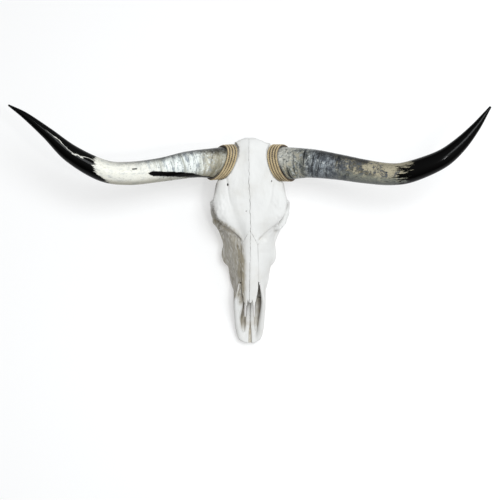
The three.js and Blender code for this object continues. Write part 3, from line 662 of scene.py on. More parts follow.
def add_bosses(skull):
    """The roots of the horn cores, with room round each for its rope wrap."""
    spans = {"right": ((-150, 400, -90), (-20, 510, 20)), "left": ((20, 400, -90), (150, 510, 20))}
    regions = []
    for name, base in BASES.items():
        cut, u, v, w = skull.window(*spans[name], 20)
        room = EMPTY
        for rise in (0, 5, 10, 15, 20):
            far, along = slanted(base, WRAP_ROOM)(u, v, w - rise)
            room = np.minimum(room, np.maximum(far, -WRAP_END - along))
        skull.values[cut] = soft_max(skull.values[cut], -room, 2)
        ring, along = slanted(base, 0)(u, v, w)
        half = base["side"] * u
        bridge = np.sqrt(((v - 455) / 46) ** 2 + ((w + 30.5) / (26 + 0.1 * half)) ** 2)
        bridge = np.maximum((bridge - 1) * 29, np.maximum(-half - 8, half - 50))
        stem = np.maximum(ring, np.maximum(along - 0.2, -42 - along))
        boss = np.maximum(soft_min(stem, bridge, 12), along - 0.2)
        skull.values[cut] = soft_min(skull.values[cut], boss, 5)
        core = np.maximum(ring, along - 0.2)
        skull.values[cut] = np.where(room < 0, np.maximum(skull.values[cut], core), skull.values[cut])
        regions.append((cut, soft_min(ring - 2, bridge - 2, 6)))
    return regions


def sculpt_forehead(field, arched):
    """The soft relief of the forehead: grooves, brow swellings and the ridge at the poll."""
    cut, u, v, w = field.window((-100, 225, -40), (100, 512, 12))
    deeper = np.clip(0.75 - u / 60, 0.5, 1)
    u = np.abs(u)
    groove = None
    for (au, av), (bu, bv) in zip(GROOVE, GROOVE[1:]):
        du, dv = bu - au, bv - av
        share = np.clip(((u - au) * du + (v - av) * dv) / (du**2 + dv**2), 0, 1)
        gap = (u - au - share * du) ** 2 + (v - av - share * dv) ** 2
        groove = gap if groove is None else np.minimum(groove, gap)
    depth = 1.5 * np.exp(-groove / 8.0) * np.clip((v - 320) / 50, 0, 1)
    valley = np.interp(v, [225, 270, 310, 350, 400, 412], [0, 2.4, 3.2, 1.8, 0.6, 0])
    depth = depth + deeper * valley * np.exp(-groove / 170.0)
    depth = depth - 2.4 * np.exp(-(((u - 76) / 14) ** 2) - ((v - 342) / 30) ** 2)
    depth = depth - np.interp(v, [380, 440, 490, 512], [0, 1.8, 1.8, 0]) * np.exp(-((u / 9) ** 2))
    depth = depth + 1.2 * np.exp(-(((u - 26) / 15) ** 2)) * np.interp(v, [400, 440, 480, 505], [0, 1, 1, 0])
    if arched:
        depth = depth + nasal_arch(u, v) * eased((v - 250) / 12)
    depth = depth * np.clip((w + 34) / 12, 0, 1)
    field.values[cut] += depth.astype(np.float32)


def foramen(u, v, wide, high):
    """The bar that makes one slanting hole through the forehead."""
    return [(u, v, 8, wide, high), (u * 0.98, v + 5, -12, wide, high)]


def carve_foramina(skull):
    """The two holes over the eyes and the small ones near the midline."""
    for hole in FORAMINA:
        u, v = hole[:2]
        skull.carve((u - 4, v - 6, -14), (u + 4, v + 10, 10), bar(foramen(*hole), 1), 1.2)


def split_bones(skull, regions):
    """The part of the grid that each bone owns, from wandering seams. Negative inside."""
    u, v, w = np.ix_(*skull.axes)
    wide, fine = (ripple(skull, (s, s, s), seed) for s, seed in zip((9, 4.5), SEAM_SEEDS))
    wander = 1.6 * wide + 1.0 * fine
    half = np.abs(u)
    plan = half - np.interp(v, *zip(*TEAR_SEAM))
    foot = np.interp(v, [247, 287, 300, 310, 352, 364, 512], [-26, -32, -46, -46.2, -46.2, -42, -42])
    frontal = np.maximum(plan, foot - w) + wander
    for cut, region in regions:
        frontal[cut] = np.minimum(frontal[cut], region)
    nasal = np.maximum(half - NASAL_WIDTH(v) - 0.1, CROWN(v) - 15 - w)
    frontal = np.maximum(frontal, SEAM_GAP - nasal)
    cheek = np.minimum(bar(CHEEK_ROOT)(half, v, w), bar(CHEEK_BACK)(half, v, w))
    cheek = np.minimum(cheek, orbit_rim(half, v, w)) - 4
    cheek = np.maximum(cheek, np.maximum(w + 46 + SEAM_GAP, v - 392 + 0.35 * (w + 96))) + 0.7 * wander
    cheek = np.maximum(cheek, 56 - half)
    jaw = v - 292 + wander
    maxilla = np.maximum(np.maximum(jaw, SEAM_GAP - frontal), np.maximum(SEAM_GAP - cheek, SEAM_GAP - nasal))
    braincase = np.maximum(np.maximum(SEAM_GAP - jaw, SEAM_GAP - frontal), SEAM_GAP - cheek)
    return {"frontal": frontal, "zygomatic": cheek, "maxilla": maxilla, "braincase": braincase}


CORNERS = np.array([(i, j, k) for i in (0, 1) for j in (0, 1) for k in (0, 1)])


def net(values, axes):
    """Closed quads round the places where a field is below zero, one point for each cell it crosses."""
    inside = values < 0
    spans = [np.flatnonzero(inside.any(tuple(k for k in range(3) if k != axis))) for axis in range(3)]
    if not len(spans[0]):
        return np.zeros((0, 3), np.float32), np.zeros((0, 4), np.int32)
    cut = tuple(slice(max(s[0] - 2, 0), min(s[-1] + 3, n)) for s, n in zip(spans, values.shape))
    values, inside = values[cut], inside[cut]
    origin = np.array([axis[c.start] for axis, c in zip(axes, cut)])
    step = np.array([axis[1] - axis[0] for axis in axes])
    cells = tuple(n - 1 for n in values.shape)
    count = np.zeros(cells, np.int8)
    for i, j, k in CORNERS:
        count += inside[i : i + cells[0], j : j + cells[1], k : k + cells[2]]
    place = np.argwhere((count > 0) & (count < 8))
    index = np.full(cells, -1, np.int32)
    index[tuple(place.T)] = np.arange(len(place))
    total = np.zeros((len(place), 3))
    crossings = np.zeros(len(place))
    for a in range(8):
        for b in range(a + 1, 8):
            if np.abs(CORNERS[a] - CORNERS[b]).sum() != 1:
                continue
            first = values[tuple((place + CORNERS[a]).T)]
            second = values[tuple((place + CORNERS[b]).T)]
            crossed = (first < 0) != (second < 0)
            share = np.where(crossed, first / np.where(crossed, first - second, 1), 0)
            point = CORNERS[a] + share[:, None] * (CORNERS[b] - CORNERS[a])
            total += point * crossed[:, None]
            crossings += crossed
    points = origin + (place + total / crossings[:, None]) * step
    faces = []
    for axis in range(3):
        one, two = [(1, 2), (2, 0), (0, 1)][axis]
        low = [slice(None)] * 3
        high = [slice(None)] * 3
        low[axis], high[axis] = slice(0, -1), slice(1, None)
        start, end = inside[tuple(low)], inside[tuple(high)]
        edges = np.argwhere(start != end)
        edges = edges[(edges[:, one] > 0) & (edges[:, two] > 0)]
        edges = edges[(edges[:, one] < cells[one]) & (edges[:, two] < cells[two])]
        ring = []
        for da, db in ((1, 1), (0, 1), (0, 0), (1, 0)):
            corner = edges.copy()
            corner[:, one] -= da
            corner[:, two] -= db
            ring.append(index[tuple(corner.T)])
        quads = np.stack(ring, 1)
        outward = start[tuple(edges.T)]
        faces.append(np.where(outward[:, None], quads[:, ::-1], quads))
    return points, np.concatenate(faces)


def largest_parts(points, faces, least=400):
    """Leaves out loose crumbs with fewer points than least."""
    label = np.arange(len(points))
    edges = np.concatenate([faces[:, [k, (k + 1) % 4]] for k in range(4)])
    while True:
        before = label.copy()
        low = np.minimum(label[edges[:, 0]], label[edges[:, 1]])
        np.minimum.at(label, edges[:, 0], low)
        np.minimum.at(label, edges[:, 1], low)
        label = label[label]
        label = label[label]
        if (label == before).all():
            break
    count = np.bincount(label, minlength=len(points))
    kept = count[label] >= min(least, count.max())
    order = np.cumsum(kept) - 1
    faces = faces[kept[faces[:, 0]]]
    return points[kept], order[faces]


def sample(values, axes, points):
    """A field's value at each point."""
    spots = [np.clip((p - a[0]) / (a[1] - a[0]), 0, len(a) - 1.001) for p, a in zip(points.T, axes)]
    first = [s.astype(int) for s in spots]
    rest = [s - f for s, f in zip(spots, first)]
    total = 0
    for i, j, k in CORNERS:
        share = np.ones(len(points))
        for t, bit in zip(rest, (i, j, k)):
            share = share * (t if bit else 1 - t)
        total = total + share * values[first[0] + i, first[1] + j, first[2] + k]
    return total


def to_world(points):
    """Points of the face frame in millimetres as places on the floor in metres."""
    u, v, w = np.asarray(points, float).T
    cos, sin = math.cos(TILT), math.sin(TILT)
    world = np.stack([u + SHIFT[0], v * cos - w * sin + SHIFT[1], v * sin + w * cos + SHIFT[2]], 1)
    return world * MM


def to_face(places):
    """The inverse of to_world."""
    x, y, z = (np.asarray(places, float) / MM - np.array(SHIFT)).T
    cos, sin = math.cos(TILT), math.sin(TILT)
    return np.stack([x, y * cos + z * sin, z * cos - y * sin], 1)


def new_object(name, points, faces, material, attributes=None):
    """A smooth mesh object from points in metres, faces and values for each point."""
    mesh = bpy.data.meshes.new(name)
    mesh.from_pydata([tuple(p) for p in points], [], [tuple(map(int, f)) for f in faces])
    mesh.materials.append(material)
    for label, values in (attributes or {}).items():
        layer = mesh.attributes.new(label, "FLOAT", "POINT")
        layer.data.foreach_set("value", np.asarray(values, np.float32))
    mesh.polygons.foreach_set("use_smooth", [True] * len(mesh.polygons))
    mesh.update()
    made = bpy.data.objects.new(name, mesh)
    bpy.context.scene.collection.objects.link(made)
    return made


def hand_over(made, node):
    """Puts a finished piece under the root body and hides the CAD part that it stands for."""
    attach(made, "root")
    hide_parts(node)


def leaned(points):
    """The face leans a little to the animal's right, as grown bone does."""
    u, v = points[:, 0], points[:, 1]
    points = points.copy()
    points[:, 0] = u - FACE_LEAN * (np.sqrt(u**2 + 36) - 6) * np.clip((320 - v) / 60, 0, 1)
    return points


def bone_relief(sizes, skull):
    """The uneven surface of the bones: broad waves, drawn-out dents and pits that are deepest at the eyes."""
    u, v, _ = np.ix_(*skull.axes)
    rough = sizes.rough / MM
    spacings = ((15, 22, 15), (5, 14, 6), (3.2, 6, 4.2))
    waves, dents, pits = (ripple(skull, size, seed) for size, seed in zip(spacings, RELIEF_SEEDS))
    near_eye = np.interp(v, [285, 300, 345, 380], [0, 1, 1, 0]) * np.clip((np.abs(u) - 52) / 15, 0, 1)
    relief = rough * (waves + 0.3 * dents)
    relief += (0.3 + 1.1 * near_eye.astype(np.float32)) * rough * pits
    relief *= np.interp(v, [110, 250, 300], [0.6, 0.6, 1.0]).astype(np.float32)
    return relief


def build_bones(sizes, colours):
    """Draws the bones on one grid and makes a mesh of each."""
    cell = sizes.cell / MM * 1.0
    u = np.arange(cell / 2, GRID_HALF_WIDTH, cell)
    v = np.arange(*GRID_V, cell)
    w = np.arange(*GRID_W, cell)
    fields = []
    for draw in (skull_half, nasal_half, incisive_half):
        half = Field(u, v, w)
        draw(half)
        fields.append(half.mirrored())
    skull, nasal, incisive = fields
    sculpt_forehead(skull, True)
    sculpt_forehead(nasal, False)
    regions = add_bosses(skull)
    carve_foramina(skull)
    incisive.join(*bar_box(FLARE), bar(FLARE), 4)
    axes = skull.axes
    u, v, w = np.ix_(*axes)
    relief = bone_relief(sizes, skull)
    for field in fields:
        field.values = field.values + relief
    owners = split_bones(skull, regions)
    owners["maxilla"] = np.maximum(owners["maxilla"], SEAM_GAP - incisive.values)
    owners["maxilla"] = np.maximum(owners["maxilla"], aside_blade(skull))
    surface = skull.values
    skull.values = np.maximum(skull.values, SEAM_GAP - nasal.values)
    skull.values = np.maximum(skull.values, (floor_level(v) - w).astype(np.float32))
    solid = np.minimum(np.minimum(skull.values, nasal.values), incisive.values)
    # How enclosed each place is; it sets the painted shade in the hollows.
    shade = blurred((solid < 0).astype(np.float32), max(1, round(7 / cell)))
    shade = blurred(shade, max(1, round(4 / cell)))
    side = u - midline(v) + 0 * relief
    nasal_top = w - CROWN(v) + nasal_fall(u) + relief
    nasal_edge = np.abs(u) - NASAL_WIDTH(v) + relief
    jobs = [("braincase", np.maximum(skull.values, owners["braincase"]), surface, owners["braincase"])]
    for name, sign in (("left", -1), ("right", 1)):
        half = sign * side + SEAM_GAP / 2
        for bone in ("frontal", "zygomatic", "maxilla"):
            own = np.maximum(owners[bone], half)
            jobs.append((f"{bone}_{name}", np.maximum(skull.values, own), surface, own))
        own = np.maximum(nasal_edge, half)
        jobs.append((f"nasal_{name}", np.maximum(nasal.values, own), nasal_top, own))
        jobs.append((f"incisive_{name}", np.maximum(incisive.values, half), incisive.values, half))
    material = bone_material(colours)
    for name, values, skin, edge in jobs:
        points, faces = largest_parts(*net(values, axes))
        points = sharpened(points, (skin, edge), axes, cell)
        shades = bone_shades(name, points, shade, axes)
        made = new_object(f"{name}_bone", to_world(leaned(points)), faces, material, shades)
        made.data.set_sharp_from_angle(angle=math.radians(SHARP_EDGE))
        hand_over(made, name)


def sharpened(points, fields, axes, cell):
    """Moves the points nearest an edge between two surfaces on to it, so that seams are fine lines."""
    for _ in range(2):
        near = np.all([np.abs(sample(f, axes, points)) < 1.1 * cell for f in fields], axis=0)
        spots = points[near]
        value = np.stack([sample(f, axes, spots) for f in fields], 1)
        slope = np.zeros((len(spots), 2, 3))
        for k in range(3):
            step = np.zeros(3)
            step[k] = 0.5 * cell
            for i, field in enumerate(fields):
                rise = sample(field, axes, spots + step) - sample(field, axes, spots - step)
                slope[:, i, k] = rise / cell
        square = slope @ slope.transpose(0, 2, 1) + 0.05 * np.eye(2)
        move = -(slope.transpose(0, 2, 1) @ np.linalg.solve(square, value[:, :, None]))[:, :, 0]
        length = np.linalg.norm(move, axis=1, keepdims=True)
        points[near] = spots + move * np.minimum(1, 0.9 * cell / np.maximum(length, 1e-6))
    return points


def bone_shades(name, points, shade, axes):
    """What the bone material needs at each point: the painted shade of the hollows and the nose, the seams
    with painted shade in the holes, the enamel, and the painted shade on the animal's right side of the face.
    """
    u, v, w = points.T
    half = np.abs(u)
    rows = np.array(BLADE)
    # Painted shade: the hollows, the inside of the nose and the cleft of the snout are made darker, as if in
    # shade.
    hollow = sample(shade, axes, points)
    crest = np.interp(v, rows[:, 1], rows[:, 0])
    inner = np.clip((CROWN(v) - 26 - w) / 10, 0, 1) * np.clip((crest - half) / 3, 0, 1)
    inner *= np.interp(v, [22, 50, 150, 170], [0, 1, 1, 0]) * np.clip((half - 8) / 3, 0.2, 1)
    cleft = np.clip((plate_top(v) - 1.5 - w) / 2, 0, 1) * np.clip(4.5 - half, 0, 1) * (v < 45)
    hollow = np.maximum(hollow, 0.52 + np.maximum(0.2 * inner, 0.34 * cleft))
    seam = np.full(len(points), 9.0)
    if name.startswith(("frontal", "nasal")):
        seam = np.abs(u - midline(v)) + np.interp(v, [90, 400, 430, 505], [0.15, 0.0, 0.25, 0.5])
    # Inside the holes the seam value is zero, so they are painted dark as shade.
    for hole in FORAMINA:
        wide = hole[:2] + (hole[2] + 0.4, hole[3] + 0.4)
        deep = (bar(foramen(*wide), 1)(u, v, w) < 0) & (w < CROWN(v) + 2)
        seam = np.where(deep, 0.0, seam)
    tooth_part = np.clip((ROOT_LEVEL(v) - 1.5 - w) / 3, 0, 1) * (half > 25) * (v > 140) * (v < 290)
    # Painted shade on the animal's right side of the face, strongest just beyond where it starts.
    start = np.interp(v, [100, 207, 240, 267, 285, 300, 312], [7, 7, 9, 15, 32, 54, 80])
    reach = np.interp(v, [200, 240, 267, 300], [10, 18, 30, 20])
    away = np.clip((-u - start) / reach, 0, 1) * np.interp(v, [60, 100, 310, 345], [0, 1, 1, 0])
    away = away * (0.84 + 0.5 * np.exp(-(((-u - start - 13) / 9) ** 2)))
    # On the incisive bones, painted shade darkens the animal's right flank of the snout and the inside of the
    # nose, and the seam value darkens that inside further.
    if name.startswith("incisive"):
        flare = np.clip((crest - 4 - half) / 4, 0, 1) * np.clip((v - 88) / 14, 0, 1)
        upper = np.clip((v - 106) / 12, 0, 1) * (1 - 0.7 * np.exp(-(((half - crest) / 1.3) ** 2)))
        away = np.maximum(np.maximum(flare, upper), inner) * (u < -8) * 0.85
        seam = 0.9 - 0.65 * np.clip(inner, 0, 1) * (u < -8) * np.interp(v, [40, 104], [0.35, 0.85])
    return {"hollow": hollow, "seam": seam, "tooth": tooth_part, "painted_side_shade": away}


def aside_blade(skull):
    """Keeps the upper jaw under the blades of the incisive bones. Positive where it may not be."""
    u, v, w = np.ix_(*skull.axes)
    rows = np.array(BLADE)
    under = np.interp(v, rows[:, 1], rows[:, 2] - 1.1 * rows[:, 4])
    under = np.where(v > 151, 40.0, under)
    behind = np.maximum(w - (under - SEAM_GAP), 40 - v)
    return np.maximum(behind, np.minimum(112 - v, 31.5 - np.abs(u))).astype(np.float32)


# ---------------------------------------------------------------- the horns

RINGS = 60
RING_WIDTH = 4.5
PLAIN_BASE = 14
WOBBLE = 0.006


def through(rows, places):
    """A Catmull-Rom line through rows, at places from 0 to 1."""
    rows = np.asarray(rows, float)
    ends = np.concatenate([[2 * rows[0] - rows[1]], rows, [2 * rows[-1] - rows[-2]]])
    spot = np.asarray(places) * (len(rows) - 1)
    first = np.minimum(spot.astype(int), len(rows) - 2)
    t = (spot - first)[:, None]
    a, b, c, d = (ends[first + k] for k in range(4))
    return 0.5 * (2 * b + (c - a) * t + (2 * a - 5 * b + 4 * c - d) * t**2 + (3 * b - a - 3 * c + d) * t**3)


def horn_stations(name):
    """Centres and half axes of the sections of a horn, from its slanting base to the tip."""
    centre, tall, deep, run = base_frame(BASES[name])
    rows = np.array(HORNS[name], float)
    spine = np.concatenate([[centre], rows[:, :3]])
    oval = (tall * BASE_HALF_HEIGHT, deep * BASE_HALF_DEPTH)
    stations = [(centre + run * 0.2, *oval), (centre + run * 17, *oval)]
    for i, row in enumerate(rows):
        near = (i + 1) / len(rows)
        ahead = (through(spine, [min(near + 1e-3, 1)]) - through(spine, [near - 1e-3]))[0]
        ahead /= np.linalg.norm(ahead)
        up = np.cross((0, 0, 1.0), ahead)
        up *= np.sign(up[1]) * row[3] / 2 / np.linalg.norm(up)
        stations.append((row[:3], up, np.cross(ahead, up)))
    return stations


def horn_relief(sizes, name, far, turn, thick):
    """How far growth rings and slow waves stand out of a horn, less so at the rope and towards the tip."""
    source = np.random.default_rng(sizes.seed + HORN_SEEDS[name])
    rings = np.cumsum(source.uniform(0.5, 1.6, RINGS) * sizes.ring_spacing / MM) + 20
    heights = source.uniform(0.4, 1.0, RINGS) * sizes.ring_height / MM
    distance = far + 5 * np.sin(turn + 0.6)
    ridge = sum(h * np.exp(-(((distance - r) / RING_WIDTH) ** 2)) for r, h in zip(rings, heights))
    ridge *= np.clip(1.15 - far / 300, 0.04, 1) * np.clip((far - PLAIN_BASE) / 12, 0, 1)
    wobble = 0
    for waves in (2, 3, 4, 5, 7):
        height, phase, drift = source.uniform((-1, 0, -0.004), (1, 6, 0.004))
        wobble = wobble + height * np.cos(waves * turn + phase + far * drift)
    wobble = wobble * WOBBLE * thick * np.clip((far - PLAIN_BASE) / 20, 0, 1)
    return (ridge + wobble) * np.clip(thick / 12, 0, 1)


def build_horns(sizes, colours):
    """The two horns, each a tapering sweep closed at its base and its tip."""
    sections, columns = ((460, 96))
    turn = np.linspace(0, 2 * math.pi, columns, endpoint=False)
    for name in BASES:
        stations = horn_stations(name)
        places = np.concatenate([[0], np.linspace(1 / (len(stations) - 1), 1, sections)])
        centres, talls, deeps = (through([s[k] for s in stations], places) for k in range(3))
        centres[0], talls[0], deeps[0] = stations[0]
        far = np.cumsum([0, *np.linalg.norm(np.diff(centres, axis=0), axis=1)])[:, None]
        thick = np.linalg.norm(talls, axis=1)[:, None]
        scale = 1 + horn_relief(sizes, name, far, turn, thick) / thick
        rounds = talls[:, None] * np.cos(turn)[:, None] + deeps[:, None] * np.sin(turn)[:, None]
        sheath = (centres[:, None] + rounds * scale[:, :, None]).reshape(-1, 3)
        tip = centres[-1] + (centres[-1] - centres[-2]) * 0.5
        index = np.arange(len(sheath)).reshape(-1, columns)
        beside = np.roll(index, -1, 1)
        quads = np.stack([index[:-1], beside[:-1], beside[1:], index[1:]], 2).reshape(-1, 4)
        base_fan = [(len(sheath), b, a) for a, b in zip(index[0], beside[0])]
        tip_fan = [(len(sheath) + 1, a, b) for a, b in zip(index[-1], beside[-1])]
        faces = [*quads, *base_fan, *tip_fan]
        if np.cross(talls[5], deeps[5]) @ (centres[6] - centres[5]) < 0:
            faces = [face[::-1] for face in faces]
        values = {
            "along": np.append(np.repeat(far, columns) / far[-1], (0, 1)),
            "upper": np.append(np.tile(np.cos(turn), len(index)), (0, 0)),
            "front": np.append(np.tile(np.sign(deeps[40][2]) * np.sin(turn), len(index)), (0, 0)),
        }
        points = to_world([*sheath, centres[0], tip])
        made = new_object(f"horn_{name}_sheath", points, faces, horn_material(colours, name), values)
        hand_over(made, f"horn_{name}")


# ---------------------------------------------------------------- the rope wraps

TURN_PITCH = 1.1
OPEN_END = 0.04
STEP_START = 0.84
POINTS_PER_TURN = 120
SLACK = 0.25

# A rope is three strands of ten yarns. Radius and offset of a strand are shares of the rope's diameter,
# the spacing of its rings and the wander of its fibres are metres.
STRANDS = 3
STRAND_RADIUS = 0.26
STRAND_OFFSET = 0.225
YARNS = 10
RING_SPACING = 0.0011
WANDER = 0.0004


def wrap_path(name, sizes):
    """Middle line of the rope round a horn base, laid in turns side by side."""
    centre, tall, deep, run = base_frame(BASES[name])
    rope = sizes.rope / MM
    pitch = rope * TURN_PITCH
    phase = np.random.default_rng(sizes.seed + BASES[name]["side"]).uniform(0, 6, 3)
    laid = np.linspace(0, sizes.turns - OPEN_END, POINTS_PER_TURN * sizes.turns + 1)
    turn = laid * 2 * math.pi - math.copysign(math.pi / 2, deep[2])
    cos, sin = np.cos(turn)[:, None], np.sin(turn)[:, None]
    touch = centre + tall * BASE_HALF_HEIGHT * cos + deep * BASE_HALF_DEPTH * sin
    out = tall * BASE_HALF_DEPTH * cos + deep * BASE_HALF_HEIGHT * sin
    out /= np.linalg.norm(out, axis=1, keepdims=True)
    step = np.floor(laid) + np.clip((laid % 1 - STEP_START) / (1 - STEP_START), 0, 1)
    shift = (np.minimum(step, sizes.turns - 1) - (sizes.turns - 1) / 2) * pitch
    shift += 0.35 * np.sin(2 * turn + phase[0]) + 0.2 * np.sin(5 * turn + phase[1])
    lift = rope / 2 + SLACK + SLACK * np.sin(3 * turn + phase[2])
    return touch + out * lift[:, None] + run * shift[:, None]


def feed(tree, node, inputs):
    """Links a node's inputs to other nodes or sets their values."""
    for key, value in inputs.items():
        if isinstance(value, bpy.types.Node):
            value = value.outputs[0]
        if isinstance(value, bpy.types.NodeSocket):
            tree.links.new(value, node.inputs[key])
        else:
            node.inputs[key].default_value = value


def place(tree, kind, inputs=None, **settings):
    """Adds a node, with its settings and its input values or links."""
    node = tree.nodes.new(kind)
    for key, value in settings.items():
        setattr(node, key, value)
    feed(tree, node, inputs or {})
    return node


ROPE_INPUTS = {
    "Line": "Geometry", "Strands": "Int", "Strand Radius": "Float", "Strand Offset": "Float", "Lay": "Float",
    "Spacing": "Float", "Wander": "Float", "Yarns": "Int", "Seed": "Int",
}


def rope_tree(material):
    """Geometry nodes that lay twisted strands of fibre along a line."""
    tree = bpy.data.node_groups.new("TwistedRope", "GeometryNodeTree")
    for name, kind in ROPE_INPUTS.items():
        tree.interface.new_socket(name, in_out="INPUT", socket_type=f"NodeSocket{kind}")
    tree.interface.new_socket("Rope", in_out="OUTPUT", socket_type="NodeSocketGeometry")
    given = place(tree, "NodeGroupInput").outputs
    line = place(tree, "GeometryNodeMeshToCurve", {"Mesh": given["Line"]})
    spacing = {"Curve": line, "Length": given["Spacing"]}
    even = place(tree, "GeometryNodeResampleCurve", spacing, mode="LENGTH")
    copies = place(
        tree, "GeometryNodeDuplicateElements", {"Geometry": even, "Amount": given["Strands"]}, domain="SPLINE"
    )
    length = place(tree, "GeometryNodeSplineParameter").outputs["Length"]
    index = copies.outputs["Duplicate Index"]
    share = place(tree, "ShaderNodeMath", {0: index, 1: given["Strands"]}, operation="DIVIDE")
    laid = place(tree, "ShaderNodeMath", {0: length, 1: given["Lay"]}, operation="DIVIDE")
    both = place(tree, "ShaderNodeMath", {0: share, 1: laid}, operation="ADD")
    angle = place(tree, "ShaderNodeMath", {0: both, 1: 2 * math.pi}, operation="MULTIPLY")
    cosine = place(tree, "ShaderNodeMath", {0: angle}, operation="COSINE")
    sine = place(tree, "ShaderNodeMath", {0: angle}, operation="SINE")
    normal = place(tree, "GeometryNodeInputNormal")
    tangent = place(tree, "GeometryNodeInputTangent")
    side = place(tree, "ShaderNodeVectorMath", {0: tangent, 1: normal}, operation="CROSS_PRODUCT")
    first = place(tree, "ShaderNodeVectorMath", {0: normal, "Scale": cosine}, operation="SCALE")
    second = place(tree, "ShaderNodeVectorMath", {0: side, "Scale": sine}, operation="SCALE")
    around = place(tree, "ShaderNodeVectorMath", {0: first, 1: second}, operation="ADD")
    off = place(tree, "ShaderNodeVectorMath", {0: around, "Scale": given["Strand Offset"]}, operation="SCALE")
    waves = {"W": given["Seed"], "Scale": 130.0, "Detail": 1.0}
    colour = place(tree, "ShaderNodeTexNoise", waves, noise_dimensions="4D").outputs["Color"]
    centred = place(tree, "ShaderNodeVectorMath", {0: colour, 1: (0.5, 0.5, 0.5)}, operation="SUBTRACT")
    stray = place(tree, "ShaderNodeVectorMath", {0: centred, "Scale": given["Wander"]}, operation="SCALE")
    shift = place(tree, "ShaderNodeVectorMath", {0: off, 1: stray}, operation="ADD")
    moved = place(tree, "GeometryNodeSetPosition", {"Geometry": copies, "Offset": shift})
    ring = {"Resolution": given["Yarns"], "Radius": given["Strand Radius"]}
    profile = place(tree, "GeometryNodeCurvePrimitiveCircle", ring)
    strands = place(
        tree, "GeometryNodeCurveToMesh", {"Curve": moved, "Profile Curve": profile, "Fill Caps": True}
    )
    real = place(tree, "GeometryNodeRealizeInstances", {"Geometry": strands})
    smooth = place(tree, "GeometryNodeSetShadeSmooth", {"Geometry": real, "Shade Smooth": True})
    dyed = place(tree, "GeometryNodeSetMaterial", {"Geometry": smooth, "Material": material})
    place(tree, "NodeGroupOutput", {"Rope": dyed})
    return tree


def build_wraps(sizes, colours):
    """A rope wrap round each horn base."""
    tree = rope_tree(rope_material(colours))
    sockets = {s.name: s.identifier for s in tree.interface.items_tree if s.in_out == "INPUT"}
    given = {
        "Strands": STRANDS, "Strand Radius": sizes.rope * STRAND_RADIUS,
        "Strand Offset": sizes.rope * STRAND_OFFSET, "Lay": sizes.lay, "Spacing": RING_SPACING,
        "Wander": WANDER, "Yarns": YARNS, "Seed": sizes.seed,
    }
    for name in BASES:
        path = to_world(wrap_path(name, sizes))
        mesh = bpy.data.meshes.new(f"wrap_{name}_line")
        mesh.from_pydata(path.tolist(), [(k, k + 1) for k in range(len(path) - 1)], [])
        line = bpy.data.objects.new(f"wrap_{name}_line", mesh)
        bpy.context.scene.collection.objects.link(line)
        modifier = line.modifiers.new("Rope", "NODES")
        modifier.node_group = tree
        for label, value in given.items():
            modifier[sockets[label]] = value
        bpy.context.view_layer.update()
        solid = bpy.data.meshes.new_from_object(line.evaluated_get(bpy.context.evaluated_depsgraph_get()))
        if len(solid.polygons) < 1000:
            raise RuntimeError(f"the rope of wrap_{name} came out empty")
        bpy.data.objects.remove(line)
        spots = np.zeros(len(solid.vertices) * 3)
        solid.vertices.foreach_get("co", spots)
        # The height of each point over the horn base sets the painted shade between the strands and turns.
        height = slanted(BASES[name], 0)(*to_face(spots.reshape(-1, 3)).T)[0]
        layer = solid.attributes.new("outward", "FLOAT", "POINT")
        layer.data.foreach_set("value", (height * MM / sizes.rope).astype(np.float32))
        solid.name = f"wrap_{name}_rope"
        made = bpy.data.objects.new(solid.name, solid)
        bpy.context.scene.collection.objects.link(made)
        hand_over(made, f"wrap_{name}")


# ---------------------------------------------------------------- materials


def new_material(name, *values):
    """An empty node material, its tree and the values of these names that the mesh keeps at each point."""
    material = bpy.data.materials.new(name)
    material.use_nodes = True
    tree = material.node_tree
    tree.nodes.clear()
    kept = [place(tree, "ShaderNodeAttribute", attribute_name=value).outputs["Fac"] for value in values]
    return material, tree, *kept


def in_millimetres(tree):
    """Object coordinates in millimetres."""
    spots = place(tree, "ShaderNodeTexCoord").outputs["Object"]
    return place(tree, "ShaderNodeVectorMath", {0: spots, "Scale": 1 / MM}, operation="SCALE")


def cloud(tree, space, size, detail=4.0, roughness=0.6, start=0.0):
    """Noise whose features have that size in millimetres along each axis of a space."""
    scale = [1 / s for s in size]
    spots = place(tree, "ShaderNodeMapping", {"Vector": space, "Location": (start, start, 0), "Scale": scale})
    inputs = {"Vector": spots, "Scale": 1.0, "Detail": detail, "Roughness": roughness}
    return place(tree, "ShaderNodeTexNoise", inputs).outputs["Fac"]


def pushed(tree, value, noise, amount):
    """A value moved up and down by noise."""
    swing = place(tree, "ShaderNodeMath", {0: noise, 1: 0.5}, operation="SUBTRACT")
    return place(tree, "ShaderNodeMath", {0: swing, 1: amount, 2: value}, operation="MULTIPLY_ADD")


def mask(tree, *steps):
    """How strongly a layer shows: plain values and soft steps (value, low, high, start, end), multiplied."""
    share = None
    for step in steps:
        if isinstance(step, tuple):
            names = ("Value", "From Min", "From Max", "To Min", "To Max")
            step = place(tree, "ShaderNodeMapRange", dict(zip(names, step)), interpolation_type="SMOOTHSTEP")
        joined = share is not None
        share = place(tree, "ShaderNodeMath", {0: share, 1: step}, operation="MULTIPLY") if joined else step
    return share


def layered(tree, base, *layers):
    """Colours laid over a base. Each layer is its colour, then the steps of its mask."""
    for colour, *steps in layers:
        share = mask(tree, *steps)
        base = place(tree, "ShaderNodeMix", {0: share, 6: base, 7: colour}, data_type="RGBA").outputs[2]
    return base


def stripe(tree, value, middle, half, soft):
    """One inside a stripe about a middle value and zero outside it."""
    side = place(tree, "ShaderNodeMath", {0: value, 1: middle}, operation="SUBTRACT")
    away = place(tree, "ShaderNodeMath", {0: side}, operation="ABSOLUTE")
    inner = place(tree, "ShaderNodeMath", {0: away, 1: half}, operation="SUBTRACT")
    return mask(tree, (inner, soft, 0.0))


